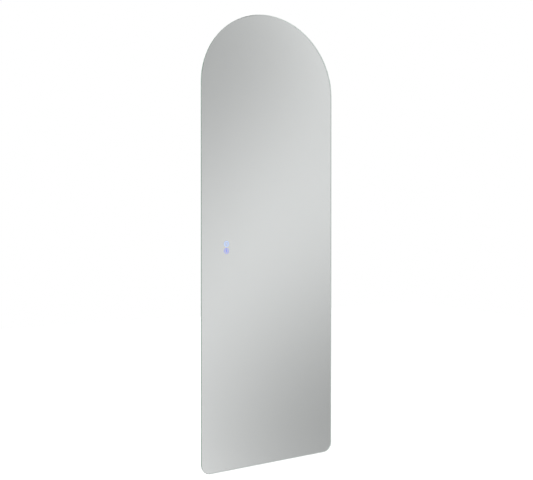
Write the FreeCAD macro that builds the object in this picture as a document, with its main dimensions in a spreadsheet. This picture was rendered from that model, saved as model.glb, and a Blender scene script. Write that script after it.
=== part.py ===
import FreeCAD, Part
import Sketcher
import math
import operator
import os
import types

# A tall arch-top bathroom mirror with light round its edge.
#
# The glass hangs in front of a slim aluminium frame that is set in from its edge, so the frame can't be
# seen from the room. LED tape runs round the outside of the frame, in a channel closed by an opal strip,
# and lights the wall. Behind the glass are a pad that keeps it from misting, a touch control that shines
# through two round windows in the silver, a tray with the driver and the terminal box, and the hook rail
# by which it all hangs on a cleat on the wall.
#
# +Z is up, +X is to the right for someone who looks at the mirror, and the wall is the plane Y = 0. The
# origin is the middle of the cleat's row of screw slots. Depths are measured out from the wall, so a
# point at depth d has Y = -d. All lengths are in millimetres and all angles in degrees.

SIZES = {
    # the mirror as it is seen
    "mirror_width": 500,
    "mirror_height": 1500,
    "corner_radius": 33,
    "cleat_drop": 100,              # from the springing of the arch down to the cleat's screws
    "glass_thickness": 5,
    "arris": 0.8,                   # polished bevel round both faces of the glass
    "silver_thickness": 0.2,
    "film_thickness": 0.3,
    "film_inset": 3,
    "tape_thickness": 1,
    "tape_width": 12,
    # the aluminium section that runs all the way round, behind the glass
    "web_inset": 50,                # from the glass's edge to the section's upright wall
    "frame_depth": 28,
    "frame_wall": 1.5,
    "base_flange": 20,
    "rear_flange": 14,
    "channel_setback": 6,           # from the glass side of the section to its light channel
    "channel_width": 16,
    "channel_depth": 8,
    "lip_width": 1,
    "lip_height": 0.8,
    # the opal strip that clips into the channel
    "diffuser_wall": 1.2,
    "diffuser_foot": 2.45,
    "foot_wall": 1,
    "hook_length": 1.2,
    "clip_gap": 0.3,
    "curve_gap": 0.05,              # between pieces that are bent together
    # the LED tape
    "led_tape_width": 10,
    "led_tape_thickness": 0.4,
    "led_tape_end": 3,
    "chip_length": 3.5,
    "chip_width": 2.8,
    "chip_height": 0.7,
    "chip_pitch": 33.3,
    # the hook rail and its wall cleat
    "cleat_length": 300,
    "cleat_height": 22,
    "cleat_wall": 2,
    "cleat_lip": 14,
    "hook_wall": 2,
    "hook_flange": 20,
    "hook_gap": 0.3,
    "slot_spacing": 240,
    "slot_length": 14,
    "slot_width": 5.5,
    "spare_hole_spacing": 80,
    "hook_screw_outer": 130,
    "hook_screw_inner": 45,
    # cross rails, plates and bumpers
    "cross_wall": 1.5,
    "cross_height": 34,
    "cross_depth": 10,
    "end_gap": 0.5,
    "lower_rail_height": 200,       # from the mirror's lower edge to the middle of the lower rail
    "rail_screw_pitch": 20,
    "plate_wall": 2,
    "plate_width": 9,
    "plate_leg": 36,
    "splice_length": 50,
    "splice_screw_pitch": 30,
    "screw_inset": 8.5,             # from the section's upright wall to the line of screws
    "bumper_radius": 6,
    "bumper_offset": 120,
    "bumper_angle": 35,
    # screws
    "screw_radius": 1.75,
    "screw_head_radius": 3.4,
    "screw_head_height": 2,
    "screw_length": 6,
    "hole_gap": 0.1,                # all round a screw in its hole
    # the sheet-metal tray that carries the electrical gear
    "tray_height": 130,
    "tray_middle": 455,             # from the mirror's lower edge
    "tray_wall": 1,
    "tray_depth": 23.5,
    "tray_flange": 14,
    "tray_screw_pitch": 90,
    "vent_margin": 9.5,             # between the vents' ends and the driver or the tray's side
    "vent_width": 4,
    "vent_pitch": 12,
    "vent_rows": 5,
    # the LED driver
    "driver_length": 134,
    "driver_width": 52,
    "driver_case_depth": 12,
    "driver_cover_depth": 8,
    "driver_wall": 1.5,
    "driver_share": 0.42,           # of the tray's free length, left of the driver
    "driver_corner": 3,
    "ear_length": 8,
    "ear_width": 24,
    "ear_thickness": 2.5,
    "board_thickness": 1.6,
    "board_gap": 0.6,
    "board_post": 4,
    # the terminal box, with its hinged lid
    "box_length": 90,
    "box_width": 50,
    "box_depth": 19.5,
    "box_wall": 2,
    "box_corner": 3,
    "box_share": 0.32,              # of the tray's free length, between the driver and the box
    "lid_thickness": 1.5,
    "knuckle_radius": 2.2,
    "knuckle_rise": 2.6,            # from the box's top up to the hinge's axis
    "knuckle_length": 12,
    "barrel_length": 50,
    "pin_radius": 1,
    "pin_gap": 0.05,
    "pin_overhang": 0.5,
    "finger_tab_width": 16,
    "finger_tab_length": 5,
    "block_length": 34,
    "block_width": 18,
    "block_height": 14,
    "pole_pitch": 10.5,
    "block_offset": 20,             # its middle, left of the box's middle
    "clamp_offset": 20,             # its middle, right of the box's middle
    "clamp_length": 28,
    "clamp_width": 8,
    "clamp_thickness": 3,
    "clamp_screw_spacing": 18,
    "clamp_rise": 14,               # from the box's lower edge up to the clamp
    "cable_radius": 3.5,
    "grommet_neck": 5.9,
    "grommet_flange": 8,
    "grommet_lip": 2,
    # the touch control
    "icon_from_edge": 89.5,
    "icon_height": 725,             # the middle of the pair, from the mirror's lower edge
    "icon_pitch": 22.3,
    "icon_radius": 9.5,
    "lens_radius": 9.2,
    "electrode_gap": 0.2,           # between a plug and the sleeve round it
    "electrode_wall": 1.2,
    "module_width": 30,
    "module_height": 62,
    "module_depth": 9,
    "module_wall": 1.2,
    "module_front": 1,
    "module_corner": 3,
    "touch_board_thickness": 1,
    "touch_board_setback": 4.7,     # from the front of the control to its board
    # the pad that keeps the glass clear
    "pad_width": 260,
    "pad_height": 300,
    "pad_thickness": 0.6,
    "pad_corner": 6,
    "pad_rise": 64,                 # from the top of the touch control up to the pad
    "patch_length": 24,
    "patch_width": 16,
    "patch_thickness": 3,
    # leads, clips and the earth stud
    "mains_lead_diameter": 6,
    "control_lead_diameter": 3.6,
    "led_lead_diameter": 3,
    "demister_lead_diameter": 2.6,
    "earth_lead_diameter": 2.6,
    "lead_spread": 7.5,             # between the control's middle and the leads at its top
    "clip_base": 14,
    "clip_base_thickness": 1.2,
    "clip_wall": 1.5,
    "clip_length": 8,
    "clip_share_low": 0.2,          # how far up the lead's straight run each clip sits
    "clip_share_high": 0.7,
    "led_lead_rise": 40,            # from the top of the control up to the hole in the frame
    "lead_grommet_flange": 4.6,
    "lead_grommet_wall": 1.6,
    "stud_radius": 2,
    "stud_length": 12,
    "stud_drop": 40,                # below the middle of the tray
    "nut_flats": 7,
    "nut_height": 3.2,
    "washer_radius": 5,
    "washer_thickness": 1,
}

MARGIN = 1      # how far a cut reaches past the face that it opens
LEAD_SIDES = 8

doc = FreeCAD.newDocument("LightedMirror")
sheet = doc.addObject("Spreadsheet::Sheet", "Sizes")
for row, (name, number) in enumerate(SIZES.items(), start=1):
    sheet.set(f"A{row}", name)
    sheet.set(f"B{row}", str(number))
    sheet.setAlias(f"B{row}", name)
doc.recompute()


# ---- lengths that stay tied to the sheet ----------------------------------------------------------------

class Size:
    """A length known both as a number and as the expression on the sheet that it comes from."""

    def __init__(self, value, text):
        self.value = value
        self.text = text

    def __add__(self, other):
        return combine(self, "+", other)

    def __radd__(self, other):
        return combine(other, "+", self)

    def __sub__(self, other):
        return combine(self, "-", other)

    def __rsub__(self, other):
        return combine(other, "-", self)

    def __mul__(self, other):
        return combine(self, "*", other)

    def __rmul__(self, other):
        return combine(other, "*", self)

    def __truediv__(self, other):
        return combine(self, "/", other)

    def __rtruediv__(self, other):
        return combine(other, "/", self)

    def __neg__(self):
        return combine(-1, "*", self)


OPERATIONS = {"+": operator.add, "-": operator.sub, "*": operator.mul, "/": operator.truediv}


def as_size(length):
    """Any length as a Size, also a plain number."""
    if isinstance(length, Size):
        return length
    return Size(float(length), f"({float(length)})")


def combine(left, sign, right):
    left, right = as_size(left), as_size(right)
    return Size(OPERATIONS[sign](left.value, right.value), f"({left.text} {sign} {right.text})")


def whole(number):
    """A Size rounded down, for a count."""
    return Size(math.floor(number.value), f"floor({number.text})")


def sine(angle):
    return Size(math.sin(math.radians(angle.value)), f"sin({angle.text})")


def cosine(angle):
    return Size(math.cos(math.radians(angle.value)), f"cos({angle.text})")


size = types.SimpleNamespace(**{name: Size(number, f"Sizes.{name}") for name, number in SIZES.items()})


# ---- outlines: closed lists of corners, (x, y) or, where an arc leads to the corner, (x, y, centre x, y) --

def rectangle(left, right, low, high):
    return [(left, low), (right, low), (right, high), (left, high)]


def rounded(left, right, low, high, radius):
    """A rectangle with round corners."""
    return [
        (left + radius, low, left + radius, low + radius),
        (right - radius, low),
        (right, low + radius, right - radius, low + radius),
        (right, high - radius),
        (right - radius, high, right - radius, high - radius),
        (left + radius, high),
        (left, high - radius, left + radius, high - radius),
        (left, low + radius),
    ]


def slot(x, y, length, width):
    """A level slot with round ends."""
    reach, radius = (length - width) / 2, width / 2
    return [
        (x - reach, y - radius, x - reach, y),
        (x + reach, y - radius),
        (x + reach, y + radius, x + reach, y),
        (x - reach, y + radius),
    ]


def mirror_outline(inset, corner=None):
    """The mirror's outline, drawn in by inset. Without a corner radius its lower corners are square."""
    half = size.mirror_width / 2 - inset
    low = lower_edge + inset
    arch = [(half, springing), (-half, springing, 0, springing)]
    if corner is None:
        return [(-half, low), (half, low)] + arch
    return [
        (-half + corner, low, -half + corner, low + corner),
        (half - corner, low),
        (half, low + corner, half - corner, low + corner),
    ] + arch + [(-half, low + corner)]


# ---- sub-parts ------------------------------------------------------------------------------------------

PIECES = []
PLANES = {"front": "XZ_Plane", "side": "YZ_Plane", "top": "XY_Plane"}


def bind(feature, property_name, length):
    feature.setExpression(property_name, as_size(length).text)


def point(corner):
    return FreeCAD.Vector(as_size(corner[0]).value, as_size(corner[1]).value, 0)


def constrain(sketch, rules):
    """Adds dimensions, each a constraint's kind and geometry with its length, and ties them to the sheet."""
    first = sketch.ConstraintCount
    lengths = [as_size(length) for _, length in rules]
    sketch.addConstraint([
        Sketcher.Constraint(*geometry, length.value) for (geometry, _), length in zip(rules, lengths)
    ])
    for number, length in enumerate(lengths, start=first):
        bind(sketch, f"Constraints[{number}]", length)


def draw_path(sketch, corners):
    """Draws one closed outline, anticlockwise round its arcs, and dimensions every corner of it."""
    edges, rules = [], []
    for start, end in zip(corners, corners[1:] + corners[:1]):
        first, last = point(start), point(end)
        if len(end) == 4:
            centre = point(end[2:])
            from_angle = math.atan2(first.y - centre.y, first.x - centre.x)
            to_angle = math.atan2(last.y - centre.y, last.x - centre.x)
            if to_angle <= from_angle:
                to_angle += 2 * math.pi
            circle = Part.Circle(centre, FreeCAD.Vector(0, 0, 1), (first - centre).Length)
            edge = sketch.addGeometry(Part.ArcOfCircle(circle, from_angle, to_angle), False)
            # Both ends are dimensioned, so the centre needs only the one across the arc's chord.
            chord = last - first
            if abs(chord.y) >= abs(chord.x):
                rules.append((("DistanceX", -1, 1, edge, 3), end[2]))
            else:
                rules.append((("DistanceY", -1, 1, edge, 3), end[3]))
        else:
            edge = sketch.addGeometry(Part.LineSegment(first, last), False)
        rules.append((("DistanceX", -1, 1, edge, 1), start[0]))
        rules.append((("DistanceY", -1, 1, edge, 1), start[1]))
        edges.append(edge)
    sketch.addConstraint([
        Sketcher.Constraint("Coincident", edge, 2, following, 1)
        for edge, following in zip(edges, edges[1:] + edges[:1])
    ])
    constrain(sketch, rules)


def draw_circle(sketch, x, y, radius):
    circle = Part.Circle(point((x, y)), FreeCAD.Vector(0, 0, 1), as_size(radius).value)
    edge = sketch.addGeometry(circle, False)
    constrain(sketch, [
        (("Radius", edge), radius),
        (("DistanceX", -1, 1, edge, 3), x),
        (("DistanceY", -1, 1, edge, 3), y),
    ])


class Piece:
    """One sub-part. Its drawings face the front (X across, Z up, depth out from the wall), the side
    (Y across, Z up, built along +X) or the top (X across, Y up the page, built along +Z)."""

    def __init__(self, name):
        self.body = doc.addObject("PartDesign::Body", name)
        self.body.Label = name
        PIECES.append(self.body)

    def origin(self, role):
        return next(feature for feature in self.body.Origin.OriginFeatures if feature.Role == role)

    def drawing(self, facing, place, outlines=(), circles=()):
        sketch = self.body.newObject("Sketcher::SketchObject", "Drawing")
        sketch.AttachmentSupport = [(self.origin(PLANES[facing]), "")]
        sketch.MapMode = "FlatFace"
        bind(sketch, "AttachmentOffset.Base.z", place)
        for corners in outlines:
            draw_path(sketch, corners)
        for x, y, radius in circles:
            draw_circle(sketch, x, y, radius)
        return sketch

    def pad(self, facing, start, length, outlines=(), circles=()):
        """Adds material from start, for length, away from the drawing."""
        pad = self.body.newObject("PartDesign::Pad", "Pad")
        pad.Profile = self.drawing(facing, start, outlines, circles)
        bind(pad, "Length", length)
        return pad

    def cut(self, facing, start, length, outlines=(), circles=()):
        """Takes away material from start, for length."""
        pocket = self.body.newObject("PartDesign::Pocket", "Pocket")
        pocket.Profile = self.drawing(facing, start + length, outlines, circles)
        bind(pocket, "Length", length)
        return pocket

    def drill(self, start, length, spots, radius):
        """Round holes through from front to back."""
        self.cut("front", start, length, circles=[(x, z, radius) for x, z in spots])

    def turn_over_arch(self, outline, angle=180):
        """Turns a section, drawn at the right-hand springing, over the arch towards the left-hand one."""
        turned = self.body.newObject("PartDesign::Revolution", "Revolution")
        turned.Profile = self.drawing("top", springing, [outline])
        turned.ReferenceAxis = (turned.Profile[0], ["V_Axis"])
        turned.Reversed = True
        bind(turned, "Angle", angle)
        return turned

    def row(self, original, direction, pitch, count):
        """Repeats a feature in a straight row."""
        pattern = self.body.newObject("PartDesign::LinearPattern", "Row")
        pattern.Originals = [original]
        pattern.Direction = (self.origin(direction), [""])
        pattern.Mode = "Spacing"
        bind(pattern, "Offset", pitch)
        bind(pattern, "Occurrences", count)
        self.body.Tip = pattern

    def ring(self, original, step):
        """Repeats a turned feature over the arch, as often as whole steps fit."""
        pattern = self.body.newObject("PartDesign::PolarPattern", "Ring")
        pattern.Originals = [original]
        pattern.Axis = original.ReferenceAxis
        pattern.Mode = "Spacing"
        pattern.Reversed = True
        bind(pattern, "Offset", step)
        bind(pattern, "Occurrences", whole(180 / step))
        self.body.Tip = pattern

    def bevel_faces(self, amount):
        """Bevels the edges of the faces that look to the front and to the back."""
        doc.recompute()
        base = self.body.Tip
        names = [
            f"Face{number}" for number, face in enumerate(base.Shape.Faces, start=1)
            if isinstance(face.Surface, Part.Plane) and abs(face.normalAt(0, 0).y) > 0.99
        ]
        bevel = self.body.newObject("PartDesign::Chamfer", "Bevel")
        bevel.Base = (base, names)
        bind(bevel, "Size", amount)
        self.body.Tip = bevel


def screws(name, groups):
    """A node of screws. A group is its spots, the depth of the face under the heads, and a length."""
    piece = Piece(name)
    for spots, seat, length in groups:
        heads = [(x, z, size.screw_head_radius) for x, z in spots]
        shanks = [(x, z, size.screw_radius) for x, z in spots]
        piece.pad("front", seat - size.screw_head_height, size.screw_head_height, circles=heads)
        piece.pad("front", seat, length, circles=shanks)


def lead_end(centre, direction, radius):
    """The end of a lead, square to its route: a regular polygon with LEAD_SIDES sides."""
    turn = FreeCAD.Rotation(FreeCAD.Vector(0, 0, 1), direction)
    corners = []
    for side in range(LEAD_SIDES + 1):
        angle = 2 * math.pi * side / LEAD_SIDES
        across = FreeCAD.Vector(radius * math.cos(angle), radius * math.sin(angle), 0)
        corners.append(centre + turn.multVec(across))
    return Part.makePolygon(corners)


def lead(name, diameter, points):
    """A lead along a route of (x, depth, z) points: straight runs joined by arcs."""
    route = [FreeCAD.Vector(*(as_size(length).value for length in (x, -depth, z))) for x, depth, z in points]
    edges, here, radii = [], route[0], []
    for before, corner, after in zip(route, route[1:], route[2:]):
        back, on = before - corner, after - corner
        half_turn = (math.pi - back.getAngle(on)) / 2
        cut_back = 0.45 * min(back.Length, on.Length)
        radii.append(cut_back / math.tan(half_turn))
        back.normalize()
        on.normalize()
        middle = back + on
        middle.normalize()
        inset = radii[-1] * (1 / math.cos(half_turn) - 1)
        first, last = corner + back * cut_back, corner + on * cut_back
        edges.append(Part.LineSegment(here, first).toShape())
        edges.append(Part.Arc(first, corner + middle * inset, last).toShape())
        here = last
    edges.append(Part.LineSegment(here, route[-1]).toShape())
    path = Part.Wire(edges)
    radius = diameter.value / 2
    tube = path.makePipeShell([lead_end(route[0], route[1] - route[0], radius)], True, False)
    expected = LEAD_SIDES / 2 * radius ** 2 * math.sin(2 * math.pi / LEAD_SIDES) * path.Length
    print(f"{name}: {path.Length:.1f} mm long, least bend {min(radii):.1f} mm, "
          f"volume {tube.Volume / expected:.4f} of section times length")
    feature = doc.addObject("Part::Feature", name)
    feature.Label = name
    feature.Shape = tube
    feature.Placement = FreeCAD.Placement()
    PIECES.append(feature)


# ---- places that several sub-parts share ----------------------------------------------------------------

# Heights.
springing = size.cleat_drop
lower_edge = springing + size.mirror_width / 2 - size.mirror_height
web_low = lower_edge + size.web_inset
icon_middle = lower_edge + size.icon_height
tray_middle = lower_edge + size.tray_middle
tray_low = tray_middle - size.tray_height / 2

# Depths, from the wall out. The hook lies between the wall and the cleat's lip, a gap on each side.
hook_back = size.hook_gap
hook_front = hook_back + size.hook_wall
cleat_lip_back = hook_front + size.hook_gap
cleat_lip_front = cleat_lip_back + size.cleat_wall
rail_back = cleat_lip_front + size.hook_gap
frame_back = rail_back - size.frame_wall
frame_front = frame_back + size.frame_depth
film_back = frame_front + size.tape_thickness
silver_back = film_back + size.film_thickness
glass_back = silver_back + size.silver_thickness
tray_floor = rail_back + size.tray_depth - size.tray_wall

# Sideways, from the middle of the mirror.
web_out = size.mirror_width / 2 - size.web_inset
rail_end = web_out - size.frame_wall - size.end_gap
screw_line = web_out - size.screw_inset
icon_across = size.icon_from_edge - size.mirror_width / 2

hook_bridge_low = size.cleat_height / 2 + size.cleat_lip + size.hook_gap
hook_flange_low = hook_bridge_low + size.hook_wall
cross_upper = hook_flange_low + size.hook_flange / 2
cross_lower = lower_edge + size.lower_rail_height

hole_radius = size.screw_radius + size.hole_gap


def both_sides(across, heights):
    return [(side * across, height) for side in (-1, 1) for height in heights]


# Where the screws go, as (x, z).
rail_heights = [
    middle + step * size.rail_screw_pitch / 2 for middle in (cross_upper, cross_lower) for step in (-1, 1)
]
tray_heights = [tray_middle + step * size.tray_screw_pitch / 2 for step in (-1, 1)]
splice_heights = [springing + step * size.splice_screw_pitch / 2 for step in (-1, 1)]
corner_height = web_low + size.screw_inset + size.plate_leg - size.plate_width
corner_across = screw_line - size.plate_leg + size.plate_width
hook_spots = both_sides(size.hook_screw_outer, [cross_upper]) + both_sides(size.hook_screw_inner, [cross_upper])


# ---- glass, silver and film -----------------------------------------------------------------------------

def mirror_glass():
    glass = Piece("mirror_glass")
    outline = mirror_outline(0, size.corner_radius)
    glass.pad("front", glass_back, size.glass_thickness, [outline])
    glass.bevel_faces(size.arris)


def silver_coating():
    """The silver on the back of the glass, with a clear round window for each touch icon."""
    silver = Piece("silver_coating")
    outline = mirror_outline(size.arris, size.corner_radius - size.arris)
    windows = [(icon_across, height, size.icon_radius) for height in icon_heights]
    silver.pad("front", silver_back, size.silver_thickness, [outline], windows)


def safety_film():
    """The film that holds broken glass together, with an opening where the touch control lies."""
    film = Piece("safety_film")
    outline = mirror_outline(size.film_inset, size.corner_radius - size.film_inset)
    across, up = size.module_width / 2 + size.clip_gap, size.module_height / 2 + size.clip_gap
    window = rounded(icon_across - across, icon_across + across, icon_middle - up, icon_middle + up,
                     size.module_corner)
    film.pad("front", film_back, size.film_thickness, [outline, window])


def bond_tape():
    """Double-sided foam tape between the film and the frame, all the way round."""
    tape = Piece("bond_tape")
    outer = size.web_inset + (size.base_flange - size.tape_width) / 2
    rings = [mirror_outline(outer), mirror_outline(outer + size.tape_width)]
    tape.pad("front", frame_front, size.tape_thickness, rings)


icon_heights = [icon_middle + step * size.icon_pitch / 2 for step in (-1, 1)]


# ---- the section that runs round the mirror: frame, LED tape and diffuser --------------------------------
#
# A section is drawn with u out from the frame's upright wall, towards the glass's edge, and v back from
# the side that is taped to the glass.

channel_end = size.channel_setback + size.channel_width


def frame_section():
    wall, depth, lip = size.frame_wall, size.frame_depth, size.lip_height
    out, tip = size.channel_depth, size.channel_depth - size.lip_width
    near, far = size.channel_setback, channel_end
    return [
        (-size.base_flange, 0),
        (0, 0),
        (0, near),
        (out, near),
        (out, near + wall + lip),
        (tip, near + wall + lip),
        (tip, near + wall),
        (0, near + wall),
        (0, far - wall),
        (tip, far - wall),
        (tip, far - wall - lip),
        (out, far - wall - lip),
        (out, far),
        (0, far),
        (0, depth),
        (-size.rear_flange, depth),
        (-size.rear_flange, depth - wall),
        (-wall, depth - wall),
        (-wall, wall),
        (-size.base_flange, wall),
    ]


def diffuser_section():
    """A flat opal face on two feet, whose hooks catch under the channel's lips."""
    face = size.channel_depth + size.curve_gap
    top = face + size.diffuser_wall
    toe = face - size.diffuser_foot
    hook = size.hook_length
    edge = size.frame_wall + size.lip_height + (size.clip_gap - size.foot_wall / 10)
    near, far = size.channel_setback, channel_end
    near_foot, far_foot = near + edge, far - edge
    near_hook = near + size.frame_wall + size.clip_gap
    far_hook = far - size.frame_wall - size.clip_gap
    rim = size.frame_wall / 3
    return [
        (toe, near_hook),
        (toe + hook, near_hook),
        (toe + hook, near_foot),
        (face, near_foot),
        (face, near + rim),
        (top, near + rim),
        (top, far - rim),
        (face, far - rim),
        (face, far_foot),
        (toe + hook, far_foot),
        (toe + hook, far_hook),
        (toe, far_hook),
        (toe, far_foot - size.foot_wall),
        (face, far_foot - size.foot_wall),
        (face, near_foot + size.foot_wall),
        (toe, near_foot + size.foot_wall),
    ]


def tape_section():
    low = (size.channel_setback + channel_end - size.led_tape_width) / 2
    return rectangle(size.curve_gap, size.curve_gap + size.led_tape_thickness, low, low + size.led_tape_width)


def seen_from_top(section, side):
    """A section at the right (side 1) or left (side -1) of the mirror, in a drawing that faces the top."""
    return [(side * (web_out + u), v - frame_front) for u, v in section]


def seen_from_side(section):
    """A section along the mirror's lower edge, in a drawing that faces the side."""
    return [(v - frame_front, web_low - u) for u, v in section]


def mitre_cut(piece, side, inner, outer, above):
    """Cuts the piece along the slope that halves a lower corner, and takes what is above or below it."""
    high = (web_out + inner - MARGIN, web_low - inner + MARGIN)
    low = (web_out + outer + MARGIN, web_low - outer - MARGIN)
    corner = (low[0], high[1]) if above else (high[0], low[1])
    triangle = [(side * x, z) for x, z in (high, low, corner)]
    piece.cut("front", frame_back - MARGIN, size.frame_depth + 2 * MARGIN, [triangle])


def degrees_of_arch(length):
    """The angle that a length takes up round the frame's arch."""
    return length / web_out * (180 / math.pi)


def length_over_arch(name, section):
    piece = Piece(name)
    piece.turn_over_arch(seen_from_top(section, 1))
    return piece


def upright_length(name, side, section, inner, outer):
    """A straight length up one side, with its foot mitred."""
    piece = Piece(name)
    foot = web_low - outer
    piece.pad("top", foot, springing - foot, [seen_from_top(section, side)])
    mitre_cut(piece, side, inner, outer, above=False)
    return piece


def lower_length(name, section, inner, outer):
    """The straight length along the bottom, mitred at both ends."""
    piece = Piece(name)
    reach = web_out + outer
    piece.pad("side", -reach, 2 * reach, [seen_from_side(section)])
    for side in (-1, 1):
        mitre_cut(piece, side, inner, outer, above=True)
    return piece


def frame():
    section = frame_section()
    inner, outer = -size.base_flange, size.channel_depth
    arch = length_over_arch("frame_arch", section)
    arch.drill(frame_back, size.frame_wall, both_sides(screw_line, splice_heights[1:]), hole_radius)
    for name, side in (("frame_left", -1), ("frame_right", 1)):
        upright = upright_length(name, side, section, inner, outer)
        heights = rail_heights + tray_heights + splice_heights[:1] + [corner_height]
        spots = [(side * screw_line, height) for height in heights]
        upright.drill(frame_back, size.frame_wall, spots, hole_radius)
        if side < 0:
            hole = (channel_middle, led_lead_height, lead_hole_radius)
            upright.cut("side", -web_out, size.frame_wall, circles=[hole])
    bottom = lower_length("frame_bottom", section, inner, outer)
    spots = both_sides(corner_across, [web_low + size.screw_inset])
    bottom.drill(frame_back, size.frame_wall, spots, hole_radius)


def diffusers():
    section = diffuser_section()
    inner = size.channel_depth + size.curve_gap - size.diffuser_foot
    outer = size.channel_depth + size.curve_gap + size.diffuser_wall
    length_over_arch("diffuser_arch", section)
    upright_length("diffuser_left", -1, section, inner, outer)
    upright_length("diffuser_right", 1, section, inner, outer)
    lower_length("diffuser_bottom", section, inner, outer)


def led_strips():
    """LED tape stuck to the outside of the frame's wall, a chip every chip_pitch."""
    section = tape_section()
    chip_base = size.curve_gap + size.led_tape_thickness / 2      # a chip's pads are sunk into the tape
    chip_top = size.curve_gap + size.led_tape_thickness + size.chip_height
    chip_back = frame_front - (size.channel_setback + channel_end + size.chip_width) / 2

    arch = length_over_arch("led_strip_arch", section)
    chip_middle = size.channel_setback + size.channel_width / 2
    chip_section = rectangle(chip_base, chip_top, chip_middle - size.chip_width / 2,
                             chip_middle + size.chip_width / 2)
    chip = arch.turn_over_arch(seen_from_top(chip_section, 1), degrees_of_arch(size.chip_length))
    arch.ring(chip, degrees_of_arch(size.chip_pitch))

    length = springing - web_low - 2 * size.led_tape_end
    low = web_low + size.led_tape_end
    for name, side in (("led_strip_left", -1), ("led_strip_right", 1)):
        upright = Piece(name)
        upright.pad("top", low, length, [seen_from_top(section, side)])
        middle = low + size.chip_pitch / 2
        chip = upright.pad("front", chip_back, size.chip_width, [
            rectangle(side * (web_out + chip_base), side * (web_out + chip_top),
                      middle - size.chip_length / 2, middle + size.chip_length / 2)
        ])
        upright.row(chip, "Z_Axis", size.chip_pitch, whole(length / size.chip_pitch))

    bottom = Piece("led_strip_bottom")
    reach = web_out - size.led_tape_end
    bottom.pad("side", -reach, 2 * reach, [seen_from_side(section)])
    middle = -reach + size.chip_pitch / 2
    chip = bottom.pad("front", chip_back, size.chip_width, [
        rectangle(middle - size.chip_length / 2, middle + size.chip_length / 2, web_low - chip_top,
                  web_low - chip_base)
    ])
    bottom.row(chip, "X_Axis", size.chip_pitch, whole(2 * reach / size.chip_pitch))


# ---- plates and rails that tie the frame together --------------------------------------------------------

def splice_plates():
    """Flat plates that join the arch to the uprights."""
    plates = Piece("splice_plates")
    half, up = size.plate_width / 2, size.splice_length / 2
    outlines = [
        rectangle(side * screw_line - half, side * screw_line + half, springing - up, springing + up)
        for side in (-1, 1)
    ]
    plates.pad("front", rail_back, size.plate_wall, outlines)
    plates.drill(rail_back, size.plate_wall, both_sides(screw_line, splice_heights), hole_radius)


def corner_plates():
    """L-shaped plates that join the uprights to the bottom length."""
    plates = Piece("corner_plates")
    half = size.plate_width / 2
    outer, inner = screw_line + half, screw_line - half
    low = web_low + size.screw_inset - half
    high = low + size.plate_width
    for side in (-1, 1):
        corners = [
            (outer, low), (outer, low + size.plate_leg), (inner, low + size.plate_leg),
            (inner, high), (outer - size.plate_leg, high), (outer - size.plate_leg, low),
        ]
        plates.pad("front", rail_back, size.plate_wall, [[(side * x, z) for x, z in corners]])
    plates.drill(rail_back, size.plate_wall, both_sides(screw_line, [corner_height]), hole_radius)
    spots = both_sides(corner_across, [web_low + size.screw_inset])
    plates.drill(rail_back, size.plate_wall, spots, hole_radius)


def cross_rail(name, middle, spots):
    """A channel across the frame, open towards the glass."""
    rail = Piece(name)
    wall, half = size.cross_wall, size.cross_height / 2
    back, front = -rail_back, -(rail_back + size.cross_depth)
    rail.pad("side", -rail_end, 2 * rail_end, [[
        (back, middle - half), (front, middle - half), (front, middle - half + wall),
        (back - wall, middle - half + wall), (back - wall, middle + half - wall),
        (front, middle + half - wall), (front, middle + half), (back, middle + half),
    ]])
    steps = [middle - size.rail_screw_pitch / 2, middle + size.rail_screw_pitch / 2]
    rail.drill(rail_back, wall, both_sides(screw_line, steps) + spots, hole_radius)


def hook_rail():
    """The rail that hooks over the wall cleat. Its lower edge rests on the cleat's step."""
    rail = Piece("hook_rail")
    wall = size.hook_wall
    step, low = size.cleat_height / 2, hook_flange_low
    rail.pad("side", -size.cleat_length / 2, size.cleat_length, [[
        (-hook_back, step), (-hook_back, low), (-(rail_back - wall), low),
        (-(rail_back - wall), low + size.hook_flange), (-rail_back, low + size.hook_flange),
        (-rail_back, hook_bridge_low), (-hook_front, hook_bridge_low), (-hook_front, step),
    ]])
    rail.drill(rail_back - wall, wall, hook_spots, hole_radius)


def wall_cleat():
    """The cleat that is screwed to the wall, with two slots and two spare holes."""
    cleat = Piece("wall_cleat")
    wall, half = size.cleat_wall, size.cleat_height / 2
    cleat.pad("side", -size.cleat_length / 2, size.cleat_length, [[
        (0, -half), (0, half), (-cleat_lip_back, half), (-cleat_lip_back, half + size.cleat_lip),
        (-cleat_lip_front, half + size.cleat_lip), (-cleat_lip_front, half - wall),
        (-wall, half - wall), (-wall, -half),
    ]])
    slots = [slot(side * size.slot_spacing / 2, 0, size.slot_length, size.slot_width) for side in (-1, 1)]
    holes = [(side * size.spare_hole_spacing / 2, 0, size.slot_width / 2) for side in (-1, 1)]
    cleat.cut("front", 0, wall, slots, holes)


def wall_bumpers():
    """Soft discs that keep the frame upright and off the wall."""
    bumpers = Piece("wall_bumpers")
    ring = screw_line + size.screw_inset - size.rear_flange / 2
    low = web_low + size.rear_flange / 2
    across, up = ring * sine(size.bumper_angle), ring * cosine(size.bumper_angle)
    spots = both_sides(size.bumper_offset, [low]) + both_sides(across, [springing + up])
    bumpers.pad("front", 0, frame_back, circles=[(x, z, size.bumper_radius) for x, z in spots])


# ---- the gear tray and the driver ------------------------------------------------------------------------

# Across the tray lie the driver between its ears, the terminal box and the earth stud. The length that
# they leave free is shared out: to the vents, to the mains lead, and the rest to the stud.
tray_inside = rail_end - size.tray_flange - size.tray_wall
free_length = 2 * tray_inside - size.driver_length - 2 * size.ear_length - size.box_length
vent_space = free_length * size.driver_share
driver_left = -tray_inside + vent_space + size.ear_length
driver_right = driver_left + size.driver_length
driver_middle = (driver_left + driver_right) / 2
driver_low = tray_middle - size.driver_width / 2
driver_joint = tray_floor - size.driver_case_depth
driver_back = driver_joint - size.driver_cover_depth
driver_spots = [(driver_left - size.ear_length / 2, tray_middle),
                (driver_right + size.ear_length / 2, tray_middle)]

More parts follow.
